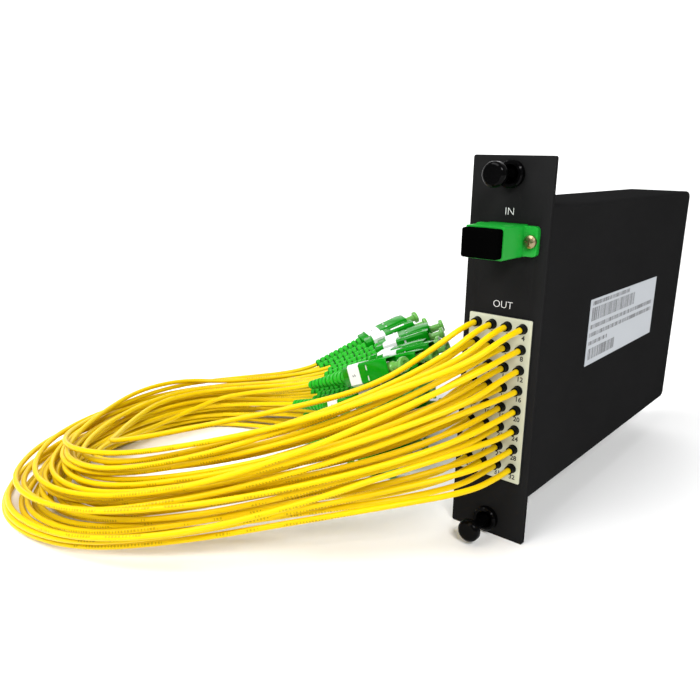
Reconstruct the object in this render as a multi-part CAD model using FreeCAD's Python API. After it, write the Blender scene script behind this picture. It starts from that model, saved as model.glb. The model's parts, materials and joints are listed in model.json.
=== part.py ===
import FreeCAD, Part
import math
import os

# Fibre splitter cassette, 1 input to 32 outputs: a sheet-metal box behind a narrow rack panel, with one
# SC/APC adapter at the top, 32 pigtails through an output plate, and a push-pull latch at each end.
# Millimetres. +X runs across the panel, +Y goes back into the rack, +Z is up.
# Z = 0 is the panel's bottom edge, which the part stands on. X = 0 is the panel's middle.

V = FreeCAD.Vector

# --- driving dimensions ---------------------------------------------------------------------------
PANEL_W = 28.0
PANEL_H = 129.5
PANEL_T = 1.5
PANEL_CORNER_R = 0.8

CASE_DEPTH = 150.0            # panel face to the casing's back
CASE_FROM_SIDE = 0.75         # panel's edges to the casing
CASE_FROM_BOTTOM = 15.9
CASE_FROM_TOP = 14.5
SHEET_T = 1.2
CASE_REAR_R = 3.3             # bend at the two rear corners
CASE_EDGE_R = 1.5             # bend along the right side
FLANGE_H = 4.6                # front flanges welded to the panel
EAR_SIZE = 8.0                # tapped ears that take the cover's screws
EAR_FROM_END = 13.0
LIP_DEPTH = 5.0               # folded lips of the cover
LIP_GAP = 0.15
SCREW_GAP = 0.15              # round a screw in its hole
THREAD_GAP = 0.05
CUT = 1.0                     # how far a cutter runs past what it cuts
EDGE = 0.01                   # for telling edges apart by their place

COVER_SCREW_R = 1.25
COVER_SCREW_HEAD_R = 2.35
COVER_SCREW_L = 4.6
DRIVE_HALF_L = 1.3            # cross recess of every screw
DRIVE_HALF_W = 0.25
DRIVE_DEPTH = 0.6

LATCH_FROM_EDGE = 5.7
LATCH_BARREL_R = 3.1
LATCH_HOLE_GAP = 0.1
LATCH_LEG_R = 2.85              # outside of the split legs
LATCH_COLLAR_R = 4.3
LATCH_COLLAR_L = 2.2
LATCH_REACH = 9.2             # legs behind the panel face
LATCH_BORE_R = 1.85
LATCH_WAIST_Y = 1.0           # where the bore narrows, behind the panel face
LATCH_TIP_TAPER = 1.4
LATCH_TIP_STEP = 0.6
LATCH_COLLAR_CHAMFER = 0.4
LATCH_SLOT_W = 0.8
LATCH_SLOT_TURN = 45.0          # slots lie across the collar's corners
LATCH_SLOT_GAP = 0.4          # panel's back to the slots
LATCH_TRAVEL = 9.0
LOWER_LATCH_IN = 0.8            # plungers at rest, from drawn right out
UPPER_LATCH_IN = 1.7
KNOB_R = 3.9
KNOB_L = 3.2
KNOB_GAP = 0.3                # knob to collar when pushed home
KNOB_MOUTH_STEP = 0.85        # knob's rim over the collar's mouth
KNOB_NECK_STEP = 1.25
KNOB_ROUND = 1.0
SHANK_R = 1.7
SHANK_TAPER_L = 3.0
SHANK_REACH = 9.0             # tip behind the panel face, drawn out
SHANK_GROOVE_START = 4.2      # from the tip
SHANK_GROOVE_END = 2.2
SHANK_GROOVE_DEPTH = 0.35
SHANK_TIP_TAPER = 1.2
SHANK_TIP_STEP = 0.9

ADAPTER_FROM_TOP = 11.2       # casing's top to the adapter's middle
ADAPTER_SIDE_GAP = 2.5        # adapter's side to its screw centres
ADAPTER_H = 10.0
ADAPTER_EDGE_R = 0.5
ADAPTER_FRONT = 15.0          # in front of the panel face
ADAPTER_REAR = 12.8           # behind the panel face
ADAPTER_FLANGE_REACH = 2.0    # flange beyond its screw centres
ADAPTER_FLANGE_H = 9.4
ADAPTER_FLANGE_T = 2.0
ADAPTER_SCREW_FROM_WALL = 3.05
CAVITY_W = 9.2                # socket for a plug
CAVITY_H = 7.6
FLANGE_CORNER_R = 1.4
KEYWAY_HALF_W = 1.3
KEYWAY_H = 0.7
KEYWAY_STOP = 2.0             # keyway's end from the web
WEB_T = 2.4
HOLDER_TUBE_R = 2.45
HOLDER_BORE_R = 1.7
HOLDER_HALF_L = 5.8
HOLDER_PLATE_T = 1.0
HOLDER_GAP = 0.1
HOOK_REACH = 0.25
HOOK_L = 1.2
FINGER_X = 3.0
FINGER_T = 0.8
FINGER_W = 3.0
FINGER_L = 6.0
SLEEVE_R = 1.6                # ceramic sleeve
SLEEVE_BORE_R = 1.27
SLEEVE_L = 11.0
SLIT_W = 0.4
FERRULE_R = 1.25
CAP_SIDE_STEP = 0.25          # cap's head inside the adapter's sides
CAP_HEAD_H = 9.0
CAP_HEAD_T = 2.9
CAP_CORNER_R = 0.8
CAP_RIM_R = 0.35
CAP_FACE_T = 1.2
CAP_SEAT_GAP = 0.1
CAP_PLUG_L = 8.0
CAP_WALL = 0.7
CAP_GAP = 0.2

ADAPTER_SCREW_R = 0.95
ADAPTER_SCREW_HEAD_R = 2.0
ADAPTER_SCREW_HEAD_L = 1.5
ADAPTER_SCREW_L = 7.0
NUT_FLATS = 4.0
NUT_T = 1.6
NUT_THREAD_GAP = 0.03

PORT_COLS = 4
PORT_ROWS = 8
PORT_FROM_SIDE = 5.0          # casing's sides to the outer port centres
PORT_DROP = 28.0              # adapter's middle to the top port centres
PORT_RISE = 11.47             # casing's bottom to the lowest port centres
PLATE_MARGIN_X = 3.1          # port centres to the plate's side edges
PLATE_MARGIN_ABOVE = 3.0      # port centres to the plate's end edges
PLATE_MARGIN_BELOW = 5.1
PLATE_T = 1.0
PLATE_REST = 1.0              # overlap of the plate on the panel round its window
PLATE_CORNER_R = 0.5
WINDOW_CORNER_R = 0.6
SLEEVE_OUT = 2.5              # black cord sleeves, in front of the panel face
PORT_SLEEVE_R = 1.6
PORT_HOLE_GAP = 0.1
ANCHOR_FRONT = 5.5            # potted anchor block behind the panel face
ANCHOR_L = 8.0
FOOT_INSET_Y = 2.0
FOOT_INSET_Z = 4.0

LABEL_Y = 41.6                # side label, from the panel face
LABEL_RISE = 38.9             # casing's bottom to the label
LABEL_L = 72.9
LABEL_H = 25.0
LABEL_T = 0.12

MODULE_L = 60.0               # splitter module
MODULE_W = 7.0
MODULE_H = 4.0
MODULE_EDGE_R = 0.6
FIBRE_R = 0.45
FIBRE_BEND_R = 30.0
FIBRE_BACK_GAP = 4.0
FIBRE_LEAD = 2.8              # straight fibre into the module's rear end

CORD_R = 1.0
PLUG_W = 9.0
PLUG_H = 7.4
PLUG_CHAMFER = 1.0
BOOT_L = 26.0
BOOT_TAIL_R = 1.9
BOOT_HEAD_R = 3.1
GRIP_START = 28.6
GRIP_END = 51.9
HOOD_START = 26.15              # the grip's hood, over the collar behind it
HOOD_STEP = 0.35
GRIP_TAPER_L = 2.4
GRIP_TAPER_STEP = 0.4
GRIP_CAVITY_L = 7.0
GRIP_WALL = 0.8
BODY_HALF_W = 2.95            # inner body
BODY_HALF_H = 2.6
BODY_CHAMFER = 0.5
BODY_GAP = 0.1
COLLAR_STEP = 0.4
COLLAR_CHAMFER = 0.8
NOSE_HALF = 2.4               # square nose inside the grip's mouth
NOSE_END = 48.5
FERRULE_END = 54.4
FERRULE_MEET = 0.05           # input plug's ferrule past the adapter's middle
NECK_START = 26.0
TAG_START = 30.0              # number sleeve, round the rear of the grip
TAG_L = 6.5
TAG_T = 0.35
TAG_GAP = 0.05
TIP_CAP_R = 2.2
TIP_CAP_BORE_R = 1.45
TIP_CAP_START = 48.9
TIP_CAP_NECK = 57.0
TIP_CAP_END = 58.6
TIP_CAP_DISC_R = 3.0
TIP_CAP_GAP = 0.4

# --- places worked out from them ------------------------------------------------------------------
FRONT_REACH = ADAPTER_FRONT + CAP_SEAT_GAP + CAP_HEAD_T
PANEL_Y = (FRONT_REACH - CASE_DEPTH) / 2.0      # the box round the part is centred on the origin
PANEL_BACK = PANEL_Y + PANEL_T
CASE_BACK = PANEL_Y + CASE_DEPTH
CASE_HALF_W = PANEL_W / 2.0 - CASE_FROM_SIDE
CASE_BOTTOM_Z = CASE_FROM_BOTTOM
CASE_TOP_Z = PANEL_H - CASE_FROM_TOP
COVER_INNER_X = -CASE_HALF_W + SHEET_T
WALL_INNER_X = CASE_HALF_W - SHEET_T
ADAPTER_Z = CASE_TOP_Z - ADAPTER_FROM_TOP
ADAPTER_SCREW_X = WALL_INNER_X - ADAPTER_SCREW_FROM_WALL
ADAPTER_W = 2.0 * (ADAPTER_SCREW_X - ADAPTER_SIDE_GAP)
ADAPTER_FLANGE_W = 2.0 * (ADAPTER_SCREW_X + ADAPTER_FLANGE_REACH)
CAP_HEAD_W = ADAPTER_W - 2.0 * CAP_SIDE_STEP
ADAPTER_MID_Y = PANEL_Y + (ADAPTER_REAR - ADAPTER_FRONT) / 2.0
PORT_TOP_Z = ADAPTER_Z - PORT_DROP
PORT_BOTTOM_Z = CASE_BOTTOM_Z + PORT_RISE
PORT_PITCH_X = 2.0 * (CASE_HALF_W - PORT_FROM_SIDE) / (PORT_COLS - 1)
PORT_PITCH_Z = (PORT_TOP_Z - PORT_BOTTOM_Z) / (PORT_ROWS - 1)
PORT_MID_Z = (PORT_TOP_Z + PORT_BOTTOM_Z) / 2.0
PLATE_W = PORT_PITCH_X * (PORT_COLS - 1) + 2.0 * PLATE_MARGIN_X
PLATE_H = PORT_PITCH_Z * (PORT_ROWS - 1) + PLATE_MARGIN_ABOVE + PLATE_MARGIN_BELOW
PLATE_MID_Z = PORT_MID_Z + (PLATE_MARGIN_ABOVE - PLATE_MARGIN_BELOW) / 2.0
LATCH_Z = (LATCH_FROM_EDGE, PANEL_H - LATCH_FROM_EDGE)
MODULE_END = CASE_DEPTH - SHEET_T - FIBRE_BACK_GAP - FIBRE_BEND_R - FIBRE_LEAD
CORDS = PORT_COLS * PORT_ROWS

# --- cord routes ----------------------------------------------------------------------------------
# Stations along the middle of the bundle, from the ports to the plugs, measured from the middle of the
# port grid on the panel face. Each holds: x, y, heading in degrees, gap between lanes, gap between
# levels, inward lean per level, height of the lowest level, weave of two levels into one, wander.
STATIONS = [
    (0.0, -SLEEVE_OUT, 270.0, PORT_PITCH_X, PORT_PITCH_Z, 0.0, PORT_BOTTOM_Z, 0.0, 0.0),
    (0.0, -9.5, 270.0, PORT_PITCH_X, PORT_PITCH_Z, 0.0, PORT_BOTTOM_Z - 0.1, 0.0, 0.0),
    (-4.0, -21.0, 250.0, 5.2, 6.0, 0.4, 27.0, 0.0, 0.5),
    (-18.0, -38.0, 231.0, 4.8, 4.7, 1.1, 24.0, 0.0, 1.6),
    (-41.0, -56.0, 221.0, 4.4, 3.5, 1.7, 18.0, 0.0, 2.6),
    (-68.0, -76.0, 214.0, 4.2, 2.9, 2.2, 11.0, 0.0, 3.2),
    (-97.0, -92.0, 198.0, 4.2, 2.7, 2.6, 4.6, 0.0, 3.2),
    (-127.0, -94.0, 165.0, 4.2, 2.6, 2.7, 1.8, 0.0, 3.0),
    (-149.0, -79.0, 128.0, 4.4, 2.5, 2.5, 1.3, 0.0, 2.6),
    (-162.0, -54.0, 103.0, 4.6, 2.4, 1.8, 1.3, 0.05, 2.2),
    (-166.0, -27.0, 86.0, 4.8, 2.4, 0.9, 1.3, 0.12, 1.4),
    (-162.0, -5.0, 68.0, 5.0, 2.4, 0.3, 1.3, 0.20, 0.6),
    (-152.0, 12.0, 47.0, 5.2, 2.4, 0.0, 1.5, 0.25, 0.0),
]
# Cords that stray sideways from their lanes in the loop: positive is outward.
STRAY = {1: -10.0, 2: -2.0, 5: -3.0, 8: 3.0, 9: -6.0, 12: 1.0, 13: -2.0, 16: 4.0, 17: -3.0, 20: 2.0,
         23: 1.5, 24: 6.0, 25: -4.0, 28: 3.0, 29: -2.0, 31: 1.0, 32: 3.0}
HIGH_CORD_LIFT = (3.0, 5.0, 5.0, 3.0, 1.0, 0.0)     # the first cord bows over the others

# The plugs fan out from one point, in layers that rise one over the other.
FAN_AHEAD_X = 3.429           # from the last station
FAN_AHEAD_Y = 5.639
FAN_HEADING = 31.0
FAN_RADIUS = 24.0
LAYER_STEP = (10.8, 10.6, 9.8, 9.3)                 # between the headings of two lanes
LAYER_RISE = (0.0, 7.6, 15.0, 22.0)
LAYER_TWIST = (2.0, 6.0, -6.0, -5.0)
LAYER_PUSH = (0.0, 3.0, 4.0, 11.0)
LAYER_GAP = 5.0
LANE_PUSH = 2.4               # each lane starts further out than the next
UNEVEN_PUSH = 3.0
UNEVEN_TURN = 0.9
UNEVEN_ROLL = 3.0
FLOOR_GAP = 0.15
PLUG_LEAD = 9.0               # straight cord behind a boot


# --- small makers ---------------------------------------------------------------------------------
def box(x0, x1, y0, y1, z0, z1):
    return Part.makeBox(x1 - x0, y1 - y0, z1 - z0, V(x0, y0, z0))


def rod_y(radius, y0, y1, x=0.0, z=0.0):
    return Part.makeCylinder(radius, y1 - y0, V(x, y0, z), V(0, 1, 0))


def rod_x(radius, x0, x1, y, z):
    return Part.makeCylinder(radius, x1 - x0, V(x0, y, z), V(1, 0, 0))


def turned_y(profile, x, z):
    """Turn a list of (y, radius) points round the Y direction through x, z."""
    points = [V(x + r, y, z) for y, r in profile]
    points.append(points[0])
    face = Part.Face(Part.makePolygon(points))
    return face.revolve(V(x, 0, z), V(0, 1, 0), 360)


def edges_along_y(shape):
    return [e for e in shape.Edges if abs(e.tangentAt(e.FirstParameter).y) > 0.9]


def rounded_slab(width, height, y0, y1, z_mid, radius):
    slab = box(-width / 2, width / 2, y0, y1, z_mid - height / 2, z_mid + height / 2)
    return slab.makeFillet(radius, edges_along_y(slab))


def flat_sided(near, far):
    """Solid between two outlines of points whose sides lie parallel in pairs."""
    faces = [Part.Face(Part.makePolygon(near + near[:1])), Part.Face(Part.makePolygon(far + far[:1]))]
    for i, corner in enumerate(near):
        j = (i + 1) % len(near)
        faces.append(Part.Face(Part.makePolygon([corner, near[j], far[j], far[i], corner])))
    solid = Part.Solid(Part.Shell(faces))
    if solid.Volume < 0:
        solid.reverse()
    return solid


def case_profile(x0, x1, inset, front):
    """Side outline of the casing, square at the front and rounded at the rear, pushed from x0 to x1."""
    back = CASE_BACK - inset
    low = CASE_BOTTOM_Z + inset
    high = CASE_TOP_Z - inset
    r = CASE_REAR_R - inset
    k = r * (1.0 - math.sqrt(0.5))
    outline = Part.Wire([
        Part.makeLine(V(x0, front, low), V(x0, back - r, low)),
        Part.Arc(V(x0, back - r, low), V(x0, back - k, low + k), V(x0, back, low + r)).toShape(),
        Part.makeLine(V(x0, back, low + r), V(x0, back, high - r)),
        Part.Arc(V(x0, back, high - r), V(x0, back - k, high - k), V(x0, back - r, high)).toShape(),
        Part.makeLine(V(x0, back - r, high), V(x0, front, high)),
        Part.makeLine(V(x0, front, high), V(x0, front, low)),
    ])
    return Part.Face(outline).extrude(V(x1 - x0, 0, 0))


def port_places():
    """x and z of each port, along the rows from the top left."""
    places = []
    for row in range(PORT_ROWS):
        for col in range(PORT_COLS):
            x = PORT_PITCH_X * (col - (PORT_COLS - 1) / 2.0)
            places.append((x, PORT_TOP_Z - PORT_PITCH_Z * row))
    return places


# --- panel and casing -----------------------------------------------------------------------------
def window_size():
    return PLATE_W - 2.0 * PLATE_REST, PLATE_H - 2.0 * PLATE_REST


def front_panel():
    panel = rounded_slab(PANEL_W, PANEL_H, PANEL_Y, PANEL_BACK, PANEL_H / 2, PANEL_CORNER_R)
    cuts = []
    front = PANEL_Y - CUT
    back = PANEL_BACK + CUT
    for z in LATCH_Z:
        cuts.append(rod_y(LATCH_BARREL_R + LATCH_HOLE_GAP, front, back, 0, z))
    half_w = ADAPTER_W / 2 + SCREW_GAP
    half_h = ADAPTER_H / 2 + SCREW_GAP
    cuts.append(box(-half_w, half_w, front, back, ADAPTER_Z - half_h, ADAPTER_Z + half_h))
    for side in (-1, 1):
        cuts.append(rod_y(ADAPTER_SCREW_R + SCREW_GAP, front, back, side * ADAPTER_SCREW_X, ADAPTER_Z))
    width, height = window_size()
    cuts.append(rounded_slab(width, height, front, back, PLATE_MID_Z, WINDOW_CORNER_R))
    return panel.cut(cuts)


def ear_places():
    """Middle of each tapped ear, and of the cover screw in it."""
    from_edge = SHEET_T + EAR_SIZE / 2
    ys = (PANEL_BACK + EAR_FROM_END, CASE_BACK - EAR_FROM_END)
    return [(y, z) for y in ys for z in (CASE_BOTTOM_Z + from_edge, CASE_TOP_Z - from_edge)]


def rim_edges(shape, x):
    """Edges of the side face at x, apart from the one against the panel."""
    edges = []
    for edge in shape.Edges:
        spread = edge.BoundBox
        on_side = abs(spread.XMin - x) < EDGE and abs(spread.XMax - x) < EDGE
        if on_side and spread.YMax > PANEL_BACK + EDGE:
            edges.append(edge)
    return edges


def casing_tray():
    outer = case_profile(COVER_INNER_X, CASE_HALF_W, 0.0, PANEL_BACK)
    outer = outer.makeFillet(CASE_EDGE_R, rim_edges(outer, CASE_HALF_W))
    tray = outer.cut(case_profile(COVER_INNER_X - CUT, WALL_INNER_X, SHEET_T, PANEL_BACK - CUT))
    low = CASE_BOTTOM_Z + SHEET_T
    high = CASE_TOP_Z - SHEET_T
    flange_back = PANEL_BACK + SHEET_T
    adds = [box(COVER_INNER_X, WALL_INNER_X, PANEL_BACK, flange_back, low, low + FLANGE_H)]
    adds.append(box(COVER_INNER_X, WALL_INNER_X, PANEL_BACK, flange_back, high - FLANGE_H, high))
    holes = []
    half = EAR_SIZE / 2
    ear_in = COVER_INNER_X + SHEET_T
    for y, z in ear_places():
        adds.append(box(COVER_INNER_X, ear_in, y - half, y + half, z - half, z + half))
        holes.append(rod_x(COVER_SCREW_R + THREAD_GAP, COVER_INNER_X - CUT, ear_in + CUT, y, z))
    return tray.fuse(adds).removeSplitter().cut(holes)


def casing_cover():
    plate = case_profile(-CASE_HALF_W, COVER_INNER_X, 0.0, PANEL_BACK)
    plate = plate.makeFillet(SHEET_T / 2, rim_edges(plate, -CASE_HALF_W))
    lip_front = PANEL_BACK + EAR_FROM_END + EAR_SIZE
    lip_back = CASE_BACK - EAR_FROM_END - EAR_SIZE
    low = CASE_BOTTOM_Z + SHEET_T + LIP_GAP
    high = CASE_TOP_Z - SHEET_T - LIP_GAP
    lip_end = COVER_INNER_X + LIP_DEPTH
    lips = [box(COVER_INNER_X, lip_end, lip_front, lip_back, low, low + SHEET_T)]
    lips.append(box(COVER_INNER_X, lip_end, lip_front, lip_back, high - SHEET_T, high))
    cuts = []
    for y, z in ear_places():
        cuts.append(rod_x(COVER_SCREW_R + 2 * THREAD_GAP, -CASE_HALF_W - CUT, COVER_INNER_X + CUT, y, z))
        cuts.append(screw_cone(y, z, THREAD_GAP))
    return plate.fuse(lips).removeSplitter().cut(cuts)


def screw_cone(y, z, gap):
    depth = COVER_SCREW_HEAD_R - COVER_SCREW_R
    start = V(-CASE_HALF_W, y, z)
    return Part.makeCone(COVER_SCREW_HEAD_R + gap, COVER_SCREW_R + gap, depth, start, V(1, 0, 0))


def cover_screws():
    screws = []
    face = -CASE_HALF_W
    floor = face + DRIVE_DEPTH
    long = DRIVE_HALF_L
    short = DRIVE_HALF_W
    for y, z in ear_places():
        shank = rod_x(COVER_SCREW_R, face, face + COVER_SCREW_L, y, z)
        drive = box(face, floor, y - long, y + long, z - short, z + short)
        cross = box(face, floor, y - short, y + short, z - long, z + long)
        screws.append(screw_cone(y, z, 0.0).fuse(shank).removeSplitter().cut([drive, cross]))
    return Part.makeCompound(screws)


def side_label():
    y0 = PANEL_Y + LABEL_Y
    z0 = CASE_BOTTOM_Z + LABEL_RISE
    return box(CASE_HALF_W, CASE_HALF_W + LABEL_T, y0, y0 + LABEL_L, z0, z0 + LABEL_H)


# --- latches --------------------------------------------------------------------------------------
def latch_grommet(z):
    """Collar, barrel and four split legs that the plunger spreads behind the rack's rail."""
    face = PANEL_Y
    front = face - LATCH_COLLAR_L
    tip = face + LATCH_REACH
    profile = [
        (front, KNOB_R - KNOB_MOUTH_STEP), (front, LATCH_COLLAR_R - LATCH_COLLAR_CHAMFER),
        (front + LATCH_COLLAR_CHAMFER, LATCH_COLLAR_R), (face, LATCH_COLLAR_R), (face, LATCH_BARREL_R),
        (PANEL_BACK, LATCH_BARREL_R), (PANEL_BACK, LATCH_LEG_R),
        (tip - LATCH_TIP_TAPER, LATCH_LEG_R), (tip, LATCH_LEG_R - LATCH_TIP_STEP),
        (tip, LATCH_BORE_R), (face + LATCH_WAIST_Y, LATCH_BORE_R),
    ]
    grommet = turned_y(profile, 0.0, z)
    slot_start = PANEL_BACK + LATCH_SLOT_GAP
    half = LATCH_SLOT_W / 2
    reach = LATCH_BARREL_R + CUT
    slots = []
    for turn in (LATCH_SLOT_TURN, LATCH_SLOT_TURN + 90.0):
        slot = box(-half, half, slot_start, tip + CUT, z - reach, z + reach)
        slot.rotate(FreeCAD.Vector(0, 0, z), FreeCAD.Vector(0, 1, 0), turn)
        slots.append(slot)
    return grommet.cut(slots)


def latch_plunger(z, pushed_in):
    """Knob, tapered shank and grooved tip, pushed in so far: its whole stroke is LATCH_TRAVEL."""
    back = PANEL_Y - LATCH_COLLAR_L - KNOB_GAP - LATCH_TRAVEL + pushed_in
    face = back - KNOB_L
    tip = PANEL_Y + SHANK_REACH + pushed_in
    dip_r = SHANK_R - SHANK_GROOVE_DEPTH
    ramp = SHANK_GROOVE_DEPTH
    profile = [
        (face, 0.0), (face, KNOB_R - 0.9 * KNOB_ROUND), (face + 0.5 * KNOB_ROUND, KNOB_R - 0.2 * KNOB_ROUND),
        (face + KNOB_ROUND, KNOB_R), (back - 0.6 * KNOB_ROUND, KNOB_R), (back, KNOB_R - 0.6 * KNOB_ROUND),
        (back, KNOB_R - KNOB_NECK_STEP), (back + SHANK_TAPER_L, SHANK_R),
        (tip - SHANK_GROOVE_START, SHANK_R), (tip - SHANK_GROOVE_START + ramp, dip_r),
        (tip - SHANK_GROOVE_END - ramp, dip_r), (tip - SHANK_GROOVE_END, SHANK_R),
        (tip - SHANK_TIP_TAPER, SHANK_R), (tip, SHANK_R - SHANK_TIP_STEP), (tip, 0.0),
    ]
    return turned_y(profile, 0.0, z)


# --- input adapter --------------------------------------------------------------------------------
def adapter_body():
    z = ADAPTER_Z
    front = PANEL_Y - ADAPTER_FRONT
    rear = PANEL_Y + ADAPTER_REAR
    body = box(-ADAPTER_W / 2, ADAPTER_W / 2, front, rear, z - ADAPTER_H / 2, z + ADAPTER_H / 2)
    body = body.makeFillet(ADAPTER_EDGE_R, edges_along_y(body))
    flange_front = PANEL_Y - ADAPTER_FLANGE_T
    flange = rounded_slab(ADAPTER_FLANGE_W, ADAPTER_FLANGE_H, flange_front, PANEL_Y, z, FLANGE_CORNER_R)
    half_w = CAVITY_W / 2
    half_h = CAVITY_H / 2
    key_top = z + half_h + KEYWAY_H
    web_front = ADAPTER_MID_Y - WEB_T / 2
    web_back = ADAPTER_MID_Y + WEB_T / 2
    key = KEYWAY_HALF_W
    cuts = [box(-half_w, half_w, front - CUT, web_front, z - half_h, z + half_h)]
    cuts.append(box(-half_w, half_w, web_back, rear + CUT, z - half_h, z + half_h))
    cuts.append(box(-key, key, front - CUT, web_front - KEYWAY_STOP, z, key_top))
    cuts.append(box(-key, key, web_back + KEYWAY_STOP, rear + CUT, z, key_top))
    cuts.append(rod_y(HOLDER_TUBE_R + THREAD_GAP, front, rear, 0, z))
    for side in (-1, 1):
        x = side * ADAPTER_SCREW_X
        cuts.append(rod_y(ADAPTER_SCREW_R + SCREW_GAP, flange_front - CUT, PANEL_Y + CUT, x, z))
    return body.fuse(flange).removeSplitter().cut(cuts)


def holder_half(side):
    """One half of the sleeve holder: plate, half tube with a retaining lip, and two hooked fingers."""
    z = ADAPTER_Z

    def place(offset):
        return ADAPTER_MID_Y + side * offset

    def span(near, far):
        return min(place(near), place(far)), max(place(near), place(far))

    def finger(x_near, x_far, y_near, y_far):
        y0, y1 = span(y_near, y_far)
        return box(min(x_near, x_far), max(x_near, x_far), y0, y1, z - FINGER_W / 2, z + FINGER_W / 2)

    half_w = CAVITY_W / 2 - HOLDER_GAP
    half_h = CAVITY_H / 2 - HOLDER_GAP
    y0, y1 = span(WEB_T / 2, WEB_T / 2 + HOLDER_PLATE_T)
    plate = box(-half_w, half_w, y0, y1, z - half_h, z + half_h)
    y0, y1 = span(0.0, HOLDER_HALF_L)
    adds = [rod_y(HOLDER_TUBE_R, y0, y1, 0, z)]
    end = WEB_T / 2 + HOLDER_PLATE_T + FINGER_L
    for x_side in (-1, 1):
        x_in = x_side * (FINGER_X - FINGER_T / 2)
        x_out = x_side * (FINGER_X + FINGER_T / 2)
        adds.append(finger(x_in, x_out, WEB_T / 2, end))
        adds.append(finger(x_out, x_out + x_side * HOOK_REACH, end - HOOK_L, end))
    y0, y1 = span(-HOLDER_GAP, SLEEVE_L / 2 + THREAD_GAP)
    bore = rod_y(HOLDER_BORE_R, y0, y1, 0, z)
    y0, y1 = span(0.0, HOLDER_HALF_L + CUT)
    mouth = rod_y(FERRULE_R + SCREW_GAP, y0, y1, 0, z)
    return plate.fuse(adds).removeSplitter().cut([bore, mouth])


def adapter_sleeve_holders():
    return Part.makeCompound([holder_half(-1), holder_half(1)])


def adapter_split_sleeve():
    y0 = ADAPTER_MID_Y - SLEEVE_L / 2
    y1 = y0 + SLEEVE_L
    tube = rod_y(SLEEVE_R, y0, y1, 0, ADAPTER_Z)
    bore = rod_y(SLEEVE_BORE_R, y0 - CUT, y1 + CUT, 0, ADAPTER_Z)
    slit = box(-SLIT_W / 2, SLIT_W / 2, y0 - CUT, y1 + CUT, ADAPTER_Z, ADAPTER_Z + SLEEVE_R + CUT)
    return tube.cut([bore, slit])


def adapter_dust_cap():
    z = ADAPTER_Z
    head_back = PANEL_Y - ADAPTER_FRONT - CAP_SEAT_GAP
    head_front = head_back - CAP_HEAD_T
    head = rounded_slab(CAP_HEAD_W, CAP_HEAD_H, head_front, head_back, z, CAP_CORNER_R)
    rim = [e for e in head.Edges if e.BoundBox.YMax < head_front + EDGE]
    head = head.makeFillet(CAP_RIM_R, rim)
    half_w = CAVITY_W / 2 - CAP_GAP
    half_h = CAVITY_H / 2 - CAP_GAP
    plug_end = head_back + CAP_PLUG_L
    plug = box(-half_w, half_w, head_back, plug_end, z - half_h, z + half_h)
    room_w = half_w - CAP_WALL
    room_h = half_h - CAP_WALL
    hollow = box(-room_w, room_w, head_front + CAP_FACE_T, plug_end + CUT, z - room_h, z + room_h)
    return head.fuse(plug).removeSplitter().cut(hollow)


def adapter_screws():
    screws = []
    head_back = PANEL_Y - ADAPTER_FLANGE_T
    head_front = head_back - ADAPTER_SCREW_HEAD_L
    long = DRIVE_HALF_L
    short = DRIVE_HALF_W
    for side in (-1, 1):
        x = side * ADAPTER_SCREW_X
        profile = [
            (head_front, 0.0), (head_front, 0.6 * ADAPTER_SCREW_HEAD_R),
            (head_front + ADAPTER_SCREW_HEAD_L / 3.0, ADAPTER_SCREW_HEAD_R),
            (head_back, ADAPTER_SCREW_HEAD_R), (head_back, ADAPTER_SCREW_R),
            (head_back + ADAPTER_SCREW_L, ADAPTER_SCREW_R), (head_back + ADAPTER_SCREW_L, 0.0),
        ]
        floor = head_front + DRIVE_DEPTH
        slot = box(x - long, x + long, head_front - CUT, floor, ADAPTER_Z - short, ADAPTER_Z + short)
        cross = box(x - short, x + short, head_front - CUT, floor, ADAPTER_Z - long, ADAPTER_Z + long)
        screws.append(turned_y(profile, x, ADAPTER_Z).cut([slot, cross]))
    return Part.makeCompound(screws)


def adapter_nuts():
    nuts = []
    corner_r = NUT_FLATS / math.sqrt(3.0)
    for side in (-1, 1):
        x = side * ADAPTER_SCREW_X
        points = []
        for i in range(7):
            turn = math.radians(60 * i)
            z = ADAPTER_Z + corner_r * math.sin(turn)
            points.append(V(x + corner_r * math.cos(turn), PANEL_BACK, z))
        nut = Part.Face(Part.makePolygon(points)).extrude(V(0, NUT_T, 0))
        bore_r = ADAPTER_SCREW_R + NUT_THREAD_GAP
        nuts.append(nut.cut(rod_y(bore_r, PANEL_BACK - CUT, PANEL_BACK + NUT_T + CUT, x, ADAPTER_Z)))
    return Part.makeCompound(nuts)


# --- output side ----------------------------------------------------------------------------------
def output_plate():
    front = PANEL_Y - PLATE_T
    plate = rounded_slab(PLATE_W, PLATE_H, front, PANEL_Y, PLATE_MID_Z, PLATE_CORNER_R)
    hole_r = PORT_SLEEVE_R + PORT_HOLE_GAP
    return plate.cut([rod_y(hole_r, front - CUT, PANEL_Y + CUT, x, z) for x, z in port_places()])


def port_sleeves():
    """Black sleeves moulded on the cords where they pass the plate, seated on the anchor block."""
    y0 = PANEL_Y - SLEEVE_OUT
    y1 = PANEL_Y + ANCHOR_FRONT
    return Part.makeCompound([rod_y(PORT_SLEEVE_R, y0, y1, x, z) for x, z in port_places()])


def cord_anchor():
    """Potted block that holds the cords, bonded to the casing's right wall."""
    y0 = PANEL_Y + ANCHOR_FRONT
    half_w = PLATE_W / 2 - PLATE_REST
    half_h = PLATE_H / 2 - PLATE_REST
    foot_h = half_h - FOOT_INSET_Z
    block = box(-half_w, half_w, y0, y0 + ANCHOR_L, PLATE_MID_Z - half_h, PLATE_MID_Z + half_h)
    foot_y = y0 + FOOT_INSET_Y
    foot = box(half_w, WALL_INNER_X, foot_y, y0 + ANCHOR_L, PLATE_MID_Z - foot_h, PLATE_MID_Z + foot_h)
    return block.fuse(foot).removeSplitter()


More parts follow.
